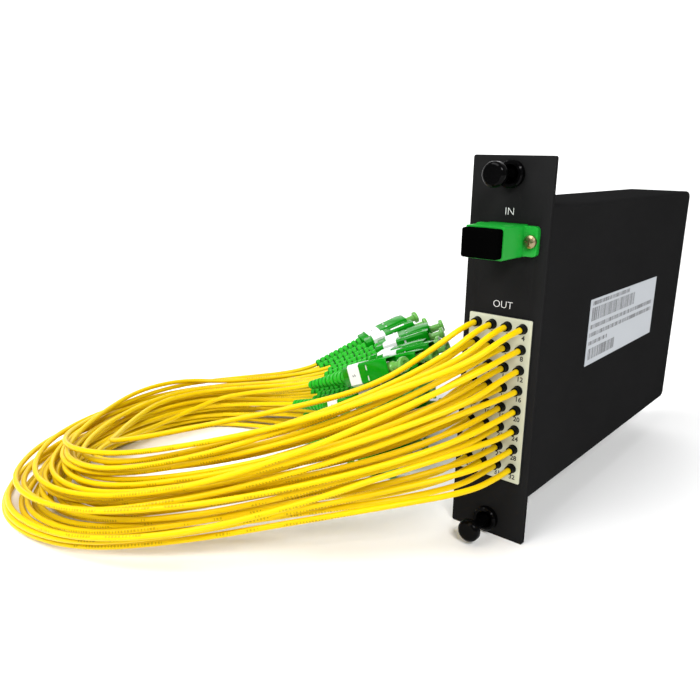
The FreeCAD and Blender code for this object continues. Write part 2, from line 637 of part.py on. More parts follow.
# --- inside the casing ----------------------------------------------------------------------------
def module_place():
    return PANEL_Y + MODULE_END - MODULE_L, CASE_BOTTOM_Z + SHEET_T


def splitter_module():
    y0, z0 = module_place()
    block = box(-MODULE_W / 2, MODULE_W / 2, y0, y0 + MODULE_L, z0, z0 + MODULE_H)
    return block.makeFillet(MODULE_EDGE_R, edges_along_y(block))


def output_fibres():
    """The 32 fibres as one flared body, from the module's end to the anchor block."""
    y1, z0 = module_place()
    y0 = PANEL_Y + ANCHOR_FRONT + ANCHOR_L
    half_x = PORT_PITCH_X * (PORT_COLS - 1) / 2.0
    half_z = PORT_PITCH_Z * (PORT_ROWS - 1) / 2.0
    near = upright_corners(y0, half_x, PORT_MID_Z - half_z, PORT_MID_Z + half_z)
    inset = MODULE_H / 4.0
    far = upright_corners(y1, MODULE_W / 2 - inset, z0 + inset, z0 + MODULE_H - inset)
    return flat_sided(near, far)


def upright_corners(y, half_x, z_low, z_high):
    return [V(-half_x, y, z_low), V(half_x, y, z_low), V(half_x, y, z_high), V(-half_x, y, z_high)]


def input_plug_tail_y():
    return ADAPTER_MID_Y + FERRULE_END - FERRULE_MEET


def input_fibre():
    """One fibre from the input plug, down behind the middle of the casing, into the module's rear end."""
    y_tail = input_plug_tail_y()
    module_y, module_z = module_place()
    y_end = module_y + MODULE_L
    z_end = module_z + MODULE_H / 2
    y_back = CASE_BACK - SHEET_T - FIBRE_BACK_GAP
    r = FIBRE_BEND_R
    k = r * (1.0 - math.sqrt(0.5))
    top = ADAPTER_Z
    turn_y = y_back - r
    path = Part.Wire([
        Part.makeLine(V(0, y_tail, top), V(0, turn_y, top)),
        Part.Arc(V(0, turn_y, top), V(0, y_back - k, top - k), V(0, y_back, top - r)).toShape(),
        Part.makeLine(V(0, y_back, top - r), V(0, y_back, z_end + r)),
        Part.Arc(V(0, y_back, z_end + r), V(0, y_back - k, z_end + k), V(0, turn_y, z_end)).toShape(),
        Part.makeLine(V(0, turn_y, z_end), V(0, y_end, z_end)),
    ])
    ring = Part.Wire([Part.makeCircle(FIBRE_R, V(0, y_tail, top), V(0, 1, 0))])
    return path.makePipeShell([ring], True, False)


# --- plugs ----------------------------------------------------------------------------------------
# A plug is drawn along +X from its cord end, PLUG_W across Y and PLUG_H across Z, then placed.
def octagon(x, half_y, half_z, chamfer):
    y = half_y - chamfer
    z = half_z - chamfer
    corners = [(half_y, z), (y, half_z), (-y, half_z), (-half_y, z),
               (-half_y, -z), (-y, -half_z), (y, -half_z), (half_y, -z)]
    return [V(x, a, b) for a, b in corners]


def even_octagon(x, radius):
    return octagon(x, radius, radius, radius * (2.0 - math.sqrt(2.0)))


def prism(x0, x1, half_y, half_z, chamfer):
    return flat_sided(octagon(x0, half_y, half_z, chamfer), octagon(x1, half_y, half_z, chamfer))


def even_prism(x0, x1, radius):
    return flat_sided(even_octagon(x0, radius), even_octagon(x1, radius))


def plug_boot():
    return flat_sided(even_octagon(0.0, BOOT_TAIL_R), even_octagon(BOOT_L, BOOT_HEAD_R))


def plug_body(ferrule):
    """Collar, shaft and nose, with the ferrule given."""
    shaft_end = GRIP_END - GRIP_CAVITY_L
    collar_w = BODY_HALF_W + COLLAR_STEP
    collar_h = BODY_HALF_H + COLLAR_STEP
    collar = prism(NECK_START, GRIP_START, collar_w, collar_h, COLLAR_CHAMFER)
    shaft = prism(GRIP_START, shaft_end, BODY_HALF_W, BODY_HALF_H, BODY_CHAMFER)
    nose = prism(shaft_end, NOSE_END, NOSE_HALF, NOSE_HALF, BODY_CHAMFER)
    return collar.fuse([shaft, nose, ferrule]).removeSplitter()


def loose_plug_body():
    return plug_body(even_prism(NOSE_END, FERRULE_END, FERRULE_R))


def input_plug_body():
    length = FERRULE_END - NOSE_END
    return plug_body(Part.makeCylinder(FERRULE_R, length, V(NOSE_END, 0, 0), V(1, 0, 0)))


def plug_grip():
    """Outer grip: hood over the collar, seat for the number sleeve, tapered front and open mouth."""
    half_y = PLUG_W / 2
    half_z = PLUG_H / 2
    taper_start = GRIP_END - GRIP_TAPER_L
    hood = prism(HOOD_START, GRIP_START, half_y - HOOD_STEP, half_z - HOOD_STEP, PLUG_CHAMFER)
    barrel = prism(GRIP_START, taper_start, half_y, half_z, PLUG_CHAMFER)
    near = octagon(taper_start, half_y, half_z, PLUG_CHAMFER)
    far = octagon(GRIP_END, half_y - GRIP_TAPER_STEP, half_z - GRIP_TAPER_STEP, PLUG_CHAMFER)
    collar_w = BODY_HALF_W + COLLAR_STEP + BODY_GAP
    collar_h = BODY_HALF_H + COLLAR_STEP + BODY_GAP
    collar_room = prism(HOOD_START - CUT, GRIP_START + BODY_GAP, collar_w, collar_h, COLLAR_CHAMFER)
    bore = prism(GRIP_START, GRIP_END, BODY_HALF_W + BODY_GAP, BODY_HALF_H + BODY_GAP, BODY_CHAMFER)
    mouth_start = GRIP_END - GRIP_CAVITY_L
    mouth = prism(mouth_start, GRIP_END + CUT, half_y - GRIP_WALL, half_z - GRIP_WALL, PLUG_CHAMFER)
    tag_end = TAG_START + TAG_L
    seat = box(TAG_START, tag_end, -PLUG_W, PLUG_W, -PLUG_H, PLUG_H)
    seat_in = TAG_T + TAG_GAP
    kept = prism(TAG_START, tag_end, half_y - seat_in, half_z - seat_in, PLUG_CHAMFER)
    whole = barrel.fuse([hood, flat_sided(near, far)])
    return whole.cut([collar_room, bore, mouth, seat.cut(kept)])


def plug_tag():
    start = TAG_START + TAG_GAP
    end = TAG_START + TAG_L - TAG_GAP
    ring = prism(start, end, PLUG_W / 2, PLUG_H / 2, PLUG_CHAMFER)
    inside = prism(start - CUT, end + CUT, PLUG_W / 2 - TAG_T, PLUG_H / 2 - TAG_T, PLUG_CHAMFER)
    return ring.cut(inside)


def plug_tip_cap():
    cup = even_prism(TIP_CAP_START, TIP_CAP_NECK, TIP_CAP_R)
    disc = even_prism(TIP_CAP_NECK, TIP_CAP_END, TIP_CAP_DISC_R)
    bore = even_prism(TIP_CAP_START - CUT, FERRULE_END + TIP_CAP_GAP, TIP_CAP_BORE_R)
    return cup.fuse(disc).removeSplitter().cut(bore)


def plug_places():
    """Tail point and three directions (along, across, up) of each loose plug."""
    places = {}
    fan_x = STATIONS[-1][0] + FAN_AHEAD_X
    fan_y = PANEL_Y + STATIONS[-1][1] + FAN_AHEAD_Y
    lanes = 2 * PORT_COLS
    for n in range(1, CORDS + 1):
        row, col = divmod(n - 1, PORT_COLS)
        level = PORT_ROWS - 1 - row
        layer = level // 2
        lane = 2 * col + level % 2
        upright = (layer + lane) % 2 == 1
        from_middle = lane - (lanes - 1) / 2.0
        heading = FAN_HEADING + from_middle * LAYER_STEP[layer] + LAYER_TWIST[layer]
        heading += UNEVEN_TURN * math.sin(2.9 * n)
        turn = math.radians(heading)
        rise = math.radians(LAYER_RISE[layer])
        push = LAYER_PUSH[layer] + LANE_PUSH * (lanes - 1 - lane) + UNEVEN_PUSH * (1.0 + math.sin(2.3 * n))
        along = V(math.cos(turn) * math.cos(rise), math.sin(turn) * math.cos(rise), math.sin(rise))
        half_h = PLUG_W / 2 if upright or layer > 0 else PLUG_H / 2
        tail_z = FLOOR_GAP + half_h + layer * LAYER_GAP + push * math.sin(rise)
        out = FAN_RADIUS + push
        tail = V(fan_x + math.cos(turn) * out, fan_y + math.sin(turn) * out, tail_z)
        roll = math.radians(90.0 if upright else 0.0)
        if layer > 0:
            roll += math.radians(UNEVEN_ROLL * math.sin(5.1 * n))
        level_side = V(-math.sin(turn), math.cos(turn), 0)
        level_up = along.cross(level_side)
        across = level_side * math.cos(roll) + level_up * math.sin(roll)
        up = level_up * math.cos(roll) - level_side * math.sin(roll)
        places[n] = (tail, along, across, up)
    return places


def placed(shape, place):
    tail, along, across, up = place
    rows = []
    for axis in "xyz":
        rows += [getattr(v, axis) for v in (along, across, up, tail)]
    matrix = FreeCAD.Matrix(*rows, 0, 0, 0, 1)
    copy = shape.copy()
    copy.Placement = FreeCAD.Placement(matrix)
    return copy


def plug_group(shape):
    places = plug_places()
    return Part.makeCompound([placed(shape, places[n]) for n in sorted(places)])


def input_plug():
    place = (V(0, input_plug_tail_y(), ADAPTER_Z), V(0, -1, 0), V(1, 0, 0), V(0, 0, 1))
    return Part.makeCompound([placed(part, place) for part in (plug_boot(), input_plug_body(), plug_grip())])


# --- cords ----------------------------------------------------------------------------------------
def cord_route(n):
    """Points of one cord: its lane across the stations, then the straight lead into its plug."""
    row, col = divmod(n - 1, PORT_COLS)
    level = PORT_ROWS - 1 - row
    points = []
    for k, (x, y, heading, lane_gap, level_gap, lean, low_z, weave, wander) in enumerate(STATIONS):
        turn = math.radians(heading)
        side = (1 if level % 2 else -1) * weave * lane_gap
        off = (col - 1.5) * lane_gap - (level - 3.5) * lean + side + wander * math.sin(2.1 * level + 0.9 * k)
        z = low_z + level * level_gap
        if wander > 0:
            off += 0.42 * (lane_gap - 2.5) * math.sin(1.3 * n + 1.9 * k) * (1.0 - 4.0 * weave)
            z += 0.4 * (level_gap - 2.4) * math.sin(0.7 * n + 1.3 * k)
        if 4 <= k <= 9:
            off += STRAY.get(n, 0.0) * math.sin(math.pi * (k - 3) / 7.0)
            if n == 1:
                z += HIGH_CORD_LIFT[k - 4]
        points.append(V(x - off * math.sin(turn), PANEL_Y + y + off * math.cos(turn), z))
    tail, along, across, up = plug_places()[n]
    points.append(tail - along * PLUG_LEAD)
    points.append(tail)
    return points


def rounded_path(points):
    """Straight runs joined by tangent arcs, each as large as its two runs allow."""
    edges = []
    radii = []
    start = points[0]
    for before, corner, after in zip(points, points[1:], points[2:]):
        back = (before - corner).normalize()
        ahead = (after - corner).normalize()
        half_turn = (math.pi - back.getAngle(ahead)) / 2.0
        reach = 0.45 * min((before - corner).Length, (after - corner).Length)
        radius = reach / math.tan(half_turn)
        radii.append(radius)
        inward = (back + ahead).normalize()
        middle = corner + inward * (radius / math.cos(half_turn) - radius)
        arc_start = corner + back * reach
        arc_end = corner + ahead * reach
        edges.append(Part.makeLine(start, arc_start))
        edges.append(Part.Arc(arc_start, middle, arc_end).toShape())
        start = arc_end
    edges.append(Part.makeLine(start, points[-1]))
    return Part.Wire(edges), radii


def cord_tube(n):
    points = cord_route(n)
    path, radii = rounded_path(points)
    ring = Part.Wire([Part.makeCircle(CORD_R, points[0], points[1] - points[0])])
    tube = path.makePipeShell([ring], True, False)
    expected = math.pi * CORD_R ** 2 * path.Length
    print("cord %02d: length %.1f, least radius %.1f, volume ratio %.4f"
          % (n, path.Length, min(radii), tube.Volume / expected))
    return tube


# --- build ----------------------------------------------------------------------------------------
def build():
    nodes = {
        "front_panel": front_panel(),
        "casing_tray": casing_tray(),
        "casing_cover": casing_cover(),
        "cover_screws": cover_screws(),
        "side_label": side_label(),
        "upper_latch_grommet": latch_grommet(LATCH_Z[1]),
        "upper_latch_plunger": latch_plunger(LATCH_Z[1], UPPER_LATCH_IN),
        "lower_latch_grommet": latch_grommet(LATCH_Z[0]),
        "lower_latch_plunger": latch_plunger(LATCH_Z[0], LOWER_LATCH_IN),
        "adapter_body": adapter_body(),
        "adapter_sleeve_holders": adapter_sleeve_holders(),
        "adapter_split_sleeve": adapter_split_sleeve(),
        "adapter_dust_cap": adapter_dust_cap(),
        "adapter_screws": adapter_screws(),
        "adapter_nuts": adapter_nuts(),
        "output_plate": output_plate(),
        "port_sleeves": port_sleeves(),
        "cord_anchor": cord_anchor(),
        "splitter_module": splitter_module(),
        "output_fibres": output_fibres(),
        "input_fibre": input_fibre(),
        "input_plug": input_plug(),
        "plug_boots": plug_group(plug_boot()),
        "plug_bodies": plug_group(loose_plug_body()),
        "plug_grips": plug_group(plug_grip()),
        "plug_number_sleeves": plug_group(plug_tag()),
        "plug_dust_caps": plug_group(plug_tip_cap()),
    }
    for n in range(1, CORDS + 1):
        nodes["cord_%02d" % n] = cord_tube(n)
    return nodes


def main():
    os.makedirs("parts", exist_ok=True)
    for name, shape in build().items():
        if not shape.isValid():
            print("not valid:", name)
        shape.exportStep("parts/%s.step" % name)
        print(name, len(shape.Solids), round(shape.Volume, 2))


main()
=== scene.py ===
import json
import math

import bmesh
import bpy
from mathutils import Euler, Matrix, Vector


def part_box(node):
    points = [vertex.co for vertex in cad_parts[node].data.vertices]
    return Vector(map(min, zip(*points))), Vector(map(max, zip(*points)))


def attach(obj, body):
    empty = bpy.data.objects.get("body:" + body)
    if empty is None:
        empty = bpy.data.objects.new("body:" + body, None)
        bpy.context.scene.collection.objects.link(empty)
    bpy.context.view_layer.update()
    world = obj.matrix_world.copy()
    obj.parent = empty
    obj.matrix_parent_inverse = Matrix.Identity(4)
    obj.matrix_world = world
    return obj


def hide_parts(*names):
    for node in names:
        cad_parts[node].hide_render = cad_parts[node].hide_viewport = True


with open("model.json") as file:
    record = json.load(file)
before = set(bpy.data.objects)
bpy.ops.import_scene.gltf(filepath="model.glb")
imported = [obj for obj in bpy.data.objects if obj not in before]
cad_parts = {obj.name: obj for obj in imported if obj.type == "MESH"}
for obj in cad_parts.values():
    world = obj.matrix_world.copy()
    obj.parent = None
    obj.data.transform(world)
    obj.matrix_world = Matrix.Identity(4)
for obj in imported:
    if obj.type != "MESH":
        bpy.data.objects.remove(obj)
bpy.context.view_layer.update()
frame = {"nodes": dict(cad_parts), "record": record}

mm = 0.001
bodyOf = {node: body for body, nodes in frame["record"]["behaviour"]["bodies"].items() for node in nodes}
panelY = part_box("front_panel")[0].y
print("frame:", len(frame["nodes"]), "nodes")


# camera: where it stands, its three directions, and its lens in mm
cameraLook = {
    "place": (0.10702, -0.27302, 0.12921),
    "right": (0.7675, 0.6408, 0.0163),
    "down": (0.1828, -0.1945, -0.9637),
    "ahead": (-0.6144, 0.7427, -0.2664),
    "lens": 36.62, "sensor": 36, "near": 0.01,
}


def makeCamera(look):
    lensData = bpy.data.cameras.new("camera")
    lensData.sensor_width = look["sensor"]
    lensData.lens = look["lens"]
    lensData.clip_start = look["near"]
    camera = bpy.data.objects.new("camera", lensData)
    right, down, ahead = (Vector(look[name]) for name in ("right", "down", "ahead"))
    turn = Matrix((right, -down, -ahead)).transposed()
    camera.matrix_world = Matrix.Translation(look["place"]) @ turn.to_4x4()
    bpy.context.scene.collection.objects.link(camera)
    bpy.context.scene.camera = camera


makeCamera(cameraLook)
print("camera at", cameraLook["place"])


# a node's socket that takes part in arithmetic
class Sock:
    def __init__(self, graph, socket):
        self.graph = graph
        self.socket = socket

    def of(self, name):
        return Sock(self.graph, self.socket.node.outputs[name])

    def math(self, operation, *others):
        return self.graph.node("ShaderNodeMath", {"operation": operation}, [self, *others])

    def __add__(self, other):
        return self.math("ADD", other)

    def __sub__(self, other):
        return self.math("SUBTRACT", other)

    def __mul__(self, other):
        return self.math("MULTIPLY", other)

    def __truediv__(self, other):
        return self.math("DIVIDE", other)

    def __mod__(self, other):
        return self.math("FLOORED_MODULO", other)

    def __gt__(self, other):
        return self.math("GREATER_THAN", other)

    def __lt__(self, other):
        return self.math("LESS_THAN", other)

    def __abs__(self):
        return self.math("ABSOLUTE")

    __radd__ = __add__


# a node tree that is filled in, with the helpers that several finishes share
class Graph:
    def __init__(self, tree):
        self.tree = tree

    def node(self, kind, settings=None, inputs=None, output=0):
        # settings come first, because they decide which sockets there are
        made = self.tree.nodes.new(kind)
        for name, value in (settings or {}).items():
            setattr(made, name, value)
        pairs = inputs.items() if isinstance(inputs, dict) else enumerate(inputs or [])
        for key, value in pairs:
            if isinstance(value, (Sock, list)):
                for sock in value if isinstance(value, list) else [value]:
                    self.tree.links.new(sock.socket, made.inputs[key])
            else:
                made.inputs[key].default_value = value
        return Sock(self, made.outputs[output]) if len(made.outputs) else None

    def place(self):
        return self.node("ShaderNodeTexCoord").of("Object")

    def parts(self, vector):
        split = self.node("ShaderNodeSeparateXYZ", None, [vector])
        return split.of("X"), split.of("Y"), split.of("Z")

    def noise(self, vector, scale, detail=2.0):
        return self.node("ShaderNodeTexNoise", None, {"Vector": vector, "Scale": scale, "Detail": detail})

    def flicker(self, number):
        # one value from 0 to 1 for each whole number
        return self.node("ShaderNodeTexWhiteNoise", {"noise_dimensions": "1D"}, {"W": number})

    def tint(self, plain, changed, factor):
        # sockets 0, 6 and 7 of a colour mix are its factor and its two colours, and output 2 is its colour
        settings = {"data_type": "RGBA", "blend_type": "MIX"}
        colours = [value if isinstance(value, Sock) else (*value, 1) for value in (plain, changed)]
        return self.node("ShaderNodeMix", settings, {0: factor, 6: colours[0], 7: colours[1]}, 2)

    def bump(self, height, distance):
        return self.node("ShaderNodeBump", None, {"Strength": 0.5, "Distance": distance, "Height": height})


def finish(name, build):
    made = bpy.data.materials.new(name)
    made.use_nodes = True
    made.node_tree.nodes.clear()
    graph = Graph(made.node_tree)
    shader = graph.node("ShaderNodeBsdfPrincipled", None, build(graph))
    graph.node("ShaderNodeOutputMaterial", None, {"Surface": shader})
    return made


# finishes: in each, "cloud" and "grain" are how fine the slow and the small changes are, "rough" is the
# roughness with what cloud and grain add to it, and "bump" is the height of the grain in metres
coatLook = {
    "dark": (0.0100, 0.0100, 0.0102), "light": (0.0148, 0.0148, 0.0150),
    "cloud": 22.0, "grain": 1700.0, "rough": (0.62, 0.12, 0.1), "bump": 0.00003,
}


def blackCoat(graph):
    at = graph.place()
    cloud = graph.noise(at, coatLook["cloud"], 3.0)
    grain = graph.noise(at, coatLook["grain"])
    rough, byCloud, byGrain = coatLook["rough"]
    return {
        "Base Color": graph.tint(coatLook["dark"], coatLook["light"], cloud),
        "Roughness": rough + (cloud - 0.5) * byCloud + (grain - 0.5) * byGrain,
        "Specular IOR Level": 0.0,
        "Normal": graph.bump(grain, coatLook["bump"]),
    }


mouldedLook = {"cloud": 60.0, "rough": (0.1, 0.06)}


def moulded(shade, deeper, rough, specular=None, grain=900.0, bump=0.00001, **more):
    def build(graph):
        at = graph.place()
        cloud = graph.noise(at, mouldedLook["cloud"])
        fine = graph.noise(at, grain)
        byGrain, byCloud = mouldedLook["rough"]
        sockets = {
            "Base Color": graph.tint(shade, deeper, cloud),
            "Roughness": rough + (fine - 0.5) * byGrain + (cloud - 0.5) * byCloud,
            "Normal": graph.bump(fine, bump),
        }
        if specular is not None:
            sockets["Specular IOR Level"] = specular
        sockets.update(more)
        return sockets
    return build


metalLook = {
    "stretch": (1, 40, 6), "grain": 900.0, "cloud": 300.0,
    "darker": 0.6, "byGrain": 0.2, "bump": 0.000008,
}


def brushedMetal(shade, rough):
    def build(graph):
        at = graph.place()
        stretched = graph.node("ShaderNodeMapping", None, {"Vector": at, "Scale": metalLook["stretch"]})
        streaks = graph.noise(stretched, metalLook["grain"])
        cloud = graph.noise(at, metalLook["cloud"])
        darker = tuple(value * metalLook["darker"] for value in shade)
        return {
            "Base Color": graph.tint(shade, darker, cloud),
            "Metallic": 1.0,
            "Roughness": rough + (streaks - 0.5) * metalLook["byGrain"],
            "Normal": graph.bump(streaks, metalLook["bump"]),
        }
    return build


# the output plate: cream on its face down to "skin", and black ("core") deeper in, so its side faces show
# black
plateLook = {
    "cream": (0.53, 0.545, 0.42), "stain": (0.45, 0.46, 0.33), "stained": 0.6, "core": (0.012, 0.012, 0.012),
    "skin": 0.35 * mm, "cloud": 120.0, "grain": 1500.0, "rough": (0.42, 0.1), "bump": 0.00001,
}


def laminate(graph):
    at = graph.place()
    core = graph.parts(at)[1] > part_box("output_plate")[0].y + plateLook["skin"]
    cloud = graph.noise(at, plateLook["cloud"], 3.0)
    cream = graph.tint(plateLook["cream"], plateLook["stain"], cloud * plateLook["stained"])
    rough, byCloud = plateLook["rough"]
    return {
        "Base Color": graph.tint(cream, plateLook["core"], core),
        "Roughness": rough + (cloud - 0.5) * byCloud,
        "Normal": graph.bump(graph.noise(at, plateLook["grain"]), plateLook["bump"]),
    }


# the side label: each row of bars has its bottom, top, start and stop as shares of the label,
# then how many bars would fill the label, how much of the row is ink, and a seed
labelLook = {
    "paper": (0.42, 0.445, 0.475), "ink": (0.03, 0.03, 0.035), "inked": 0.97,
    "rough": 0.38, "cloud": 90.0, "byCloud": 0.1, "specular": 0.4,
    "rows": [
        (0.905, 0.965, 0.02, 0.55, 62.0, 0.62, 3.0),
        (0.67, 0.87, 0.02, 0.64, 74.0, 0.55, 11.0),
        (0.55, 0.615, 0.02, 0.95, 70.0, 0.6, 23.0),
        (0.43, 0.495, 0.02, 0.96, 70.0, 0.6, 31.0),
        (0.305, 0.365, 0.02, 0.27, 70.0, 0.6, 47.0),
        (0.08, 0.25, 0.02, 0.39, 74.0, 0.55, 59.0),
    ],
}


def labelFilm(graph):
    low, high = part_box("side_label")
    at = graph.place()
    y, z = graph.parts(at)[1:]
    along = (y - low.y) / (high.y - low.y)
    up = (z - low.z) / (high.z - low.z)

    def bars(bottom, top, start, stop, count, share, seed):
        row = (up > bottom) * (up < top) * (along > start) * (along < stop)
        width = graph.flicker((along * count).math("FLOOR") + seed)
        return row * (((along * count) % 1.0) < share * 0.5 + width * share)

    first, *others = (bars(*row) for row in labelLook["rows"])
    ink = first
    for row in others:
        ink = ink.math("MAXIMUM", row)
    return {
        "Base Color": graph.tint(labelLook["paper"], labelLook["ink"], ink * labelLook["inked"]),
        "Roughness": labelLook["rough"] + graph.noise(at, labelLook["cloud"]) * labelLook["byCloud"],
        "Specular IOR Level": labelLook["specular"],
    }


# the cords' jacket: the print winds slowly round the cord ("wander"), in words of marks of uneven width
cordLook = {
    "jacket": (0.80, 0.57, 0.0005), "warm": (0.70, 0.46, 0.0005), "cloud": 28.0, "grain": 1400.0,
    "rough": (0.34, 0.12), "bump": 0.000008, "specular": 0.12,
    "glow": 0.05, "glowReach": (0.0012, 0.0009, 0.0002),
    "print": (0.10, 0.07, 0.002), "faded": 0.42, "printHalf": 0.065, "wander": (5.0, 3.0, 0.1),
    "marks": 430.0, "markWidth": (0.3, 0.45), "words": 7.0, "wordShift": (45.0, 3.0),
}


def cordJacket(graph):
    # u runs along the cord and v round it
    at = graph.place()
    cloud = graph.noise(at, cordLook["cloud"])
    fine = graph.noise(at, cordLook["grain"])
    u, v = graph.parts(graph.node("ShaderNodeTexCoord").of("UV"))[:2]
    scale, share, start = cordLook["wander"]
    turned = (v + graph.noise(at, scale) * share + start) % 1.0
    line = abs(turned - 0.5) < cordLook["printHalf"]
    scale, share = cordLook["wordShift"]
    words = (u * cordLook["words"] + graph.noise(at, scale) * share) % 1.0 < 0.5
    place = u * cordLook["marks"]
    least, more = cordLook["markWidth"]
    marks = line * words * ((place % 1.0) < graph.flicker(place.math("FLOOR")) * more + least)
    jacket = graph.tint(cordLook["jacket"], cordLook["warm"], cloud)
    rough, byGrain = cordLook["rough"]
    return {
        "Base Color": graph.tint(jacket, cordLook["print"], marks * cordLook["faded"]),
        "Roughness": rough + (fine - 0.5) * byGrain,
        "Specular IOR Level": cordLook["specular"],
        "Subsurface Weight": cordLook["glow"],
        "Subsurface Radius": cordLook["glowReach"],
        "Normal": graph.bump(fine, cordLook["bump"]),
    }


# the boots: green ribs, and the core between them, which the "slot" attribute marks and which is painted near
# black as painted shade in the gaps between the ribs
bootFinish = {
    "rib": (0.018, 0.43, 0.016), "deep": (0.010, 0.33, 0.010), "slot": (0.002, 0.07, 0.002),
    "cloud": 60.0, "grain": 900.0, "rough": (0.4, 0.06), "bump": 0.00001, "specular": 0.12,
}


def bootRubber(graph):
    at = graph.place()
    cloud = graph.noise(at, bootFinish["cloud"])
    slot = graph.node("ShaderNodeAttribute", {"attribute_name": "slot"}).of("Fac")
    rib = graph.tint(bootFinish["rib"], bootFinish["deep"], cloud)
    rough, byCloud = bootFinish["rough"]
    return {
        # the marked core takes the painted shade colour, so the gaps between the ribs look dark
        "Base Color": graph.tint(rib, bootFinish["slot"], slot),
        "Roughness": rough + (cloud - 0.5) * byCloud,
        "Specular IOR Level": bootFinish["specular"],
        "Normal": graph.bump(graph.noise(at, bootFinish["grain"]), bootFinish["bump"]),
    }


# one finish for each of the record's material slots: shade, deeper shade, roughness, specular level
looks = {
    "black_coat": finish("blackCoat", blackCoat),
    "screw_black": finish("blackScrew", brushedMetal((0.03, 0.03, 0.032), 0.35)),
    "label_white": finish("labelFilm", labelFilm),
    "latch_black": finish("glossBlack", moulded(
        (0.0008, 0.0008, 0.0009), (0.0015, 0.0015, 0.0016), 0.12, 0.06, grain=700.0, bump=0.000004)),
    "adapter_green": finish("adapterGreen", moulded((0.010, 0.30, 0.030), (0.006, 0.25, 0.020), 0.3, 0.2)),
    "ceramic_white": finish("ceramic", moulded((0.82, 0.81, 0.76), (0.78, 0.77, 0.72), 0.15)),
    "cap_black": finish("capBlack", moulded((0.0006, 0.0006, 0.0006), (0.0012, 0.0012, 0.0012), 0.5, 0.0)),
    "screw_nickel": finish("nickel", brushedMetal((0.38, 0.31, 0.18), 0.34)),
    "plate_cream": finish("laminate", laminate),
    "sleeve_black": finish("sleeveRubber", moulded(
        (0.0012, 0.0014, 0.0013), (0.0024, 0.0026, 0.0024), 0.45, 0.05)),
    "potting_black": finish("potting", moulded((0.01, 0.01, 0.01), (0.015, 0.015, 0.015), 0.5)),
    "module_steel": finish("moduleSteel", brushedMetal((0.6, 0.6, 0.6), 0.3)),
    "fibre_white": finish("looseTube", moulded((0.7, 0.7, 0.68), (0.62, 0.62, 0.6), 0.4)),
    "plug_green": finish("gripGreen", moulded((0.001, 0.27, 0.004), (0.001, 0.20, 0.003), 0.2, 0.13)),
    "boot_green": finish("bootGreen", bootRubber),
    "plug_white": finish("plugWhite", moulded((0.80, 0.81, 0.80), (0.74, 0.75, 0.74), 0.3)),
    "cap_clear_green": finish("clearCap", moulded(
        (0.24, 0.62, 0.13), (0.18, 0.54, 0.09), 0.22, 0.25, grain=400.0, bump=0.000005,
        **{"Transmission Weight": 0.4, "IOR": 1.45})),
    "cord_yellow": finish("cordJacket", cordJacket),
}
inkWhite = finish("inkWhite", moulded((0.80, 0.80, 0.80), (0.72, 0.72, 0.72), 0.45))
inkDark = finish("inkDark", moulded((0.005, 0.005, 0.005), (0.010, 0.010, 0.010), 0.5))
print("finishes:", len(bpy.data.materials))


# a new object in the scene, on its body where one is given
def linked(name, data, body="cassette"):
    piece = bpy.data.objects.new(name, data)
    bpy.context.scene.collection.objects.link(piece)
    if body:
        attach(piece, body)
    return piece


def meshFrom(name, points, faces):
    mesh = bpy.data.meshes.new(name)
    mesh.from_pydata(points, [], faces)
    mesh.update()
    return mesh


# meshes: doubles are merged within "merge" metres, faces are joined where they turn by less than "flat"
# degrees, and edges stay sharp where they turn by more than "smooth" degrees
meshCare = {"merge": 1e-6, "flat": 0.3, "smooth": 35.0, "smoothBevelled": 50.0, "segments": 2}


def tidied(mesh, smoothAngle=meshCare["smooth"], flat=0.0, facing=True):
    # merges doubles, turns faces outwards and sets which edges stay sharp
    work = bmesh.new()
    work.from_mesh(mesh)
    bmesh.ops.remove_doubles(work, verts=work.verts, dist=meshCare["merge"])
    if flat:
        bmesh.ops.dissolve_limit(work, angle_limit=math.radians(flat), verts=work.verts, edges=work.edges)
    if facing:
        bmesh.ops.recalc_face_normals(work, faces=work.faces)
    work.to_mesh(mesh)
    work.free()
    return shaded(mesh, smoothAngle)


def shaded(mesh, angle):
    mesh.shade_smooth()
    mesh.set_sharp_from_angle(angle=math.radians(angle))
    return mesh


def settled(piece):
    # the piece with its modifiers worked into a plain mesh
    depsgraph = bpy.context.evaluated_depsgraph_get()
    mesh = bpy.data.meshes.new_from_object(piece.evaluated_get(depsgraph), depsgraph=depsgraph)
    piece.modifiers.clear()
    piece.data = mesh


def softened(piece, width, segments, angle):
    soften = piece.modifiers.new("soften", "BEVEL")
    soften.width = width
    soften.segments = segments
    soften.limit_method = "ANGLE"
    soften.angle_limit = math.radians(angle)
    settled(piece)


def dressedCopy(node, look, bevel):
    # a merged copy of a CAD node, smooth where it is round and softened along its edges
    source = frame["nodes"][node].data
    mesh = meshFrom(node, [v.co[:] for v in source.vertices], [p.vertices[:] for p in source.polygons])
    tidied(mesh, flat=meshCare["flat"], facing=False)
    mesh.materials.append(look)
    piece = linked(node.replace("_", "-") + "-dressed", mesh, None)
    if bevel:
        softened(piece, bevel, meshCare["segments"], meshCare["smooth"])
        shaded(piece.data, meshCare["smoothBevelled"])
    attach(piece, bodyOf[node])
    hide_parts(node)
    return piece


slotOf = {part["node"]: part["material_slot"] for part in frame["record"]["subparts"]}
for node, piece in frame["nodes"].items():
    piece.data.materials.clear()
    piece.data.materials.append(looks[slotOf[node]])

# how far the edges of each dressed CAD node are softened
edgeSoftening = {
    "casing_tray": 0.0, "casing_cover": 0.0, "cover_screws": 0.0, "front_panel": 0.2 * mm,
    "adapter_body": 0.12 * mm, "upper_latch_grommet": 0.0, "upper_latch_plunger": 0.0,
    "lower_latch_grommet": 0.0, "lower_latch_plunger": 0.0, "adapter_dust_cap": 0.1 * mm,
    "adapter_screws": 0.0, "output_plate": 0.0,
}
for node, bevel in edgeSoftening.items():
    dressedCopy(node, looks[slotOf[node]], bevel)
print("dressed CAD pieces:", len(edgeSoftening))


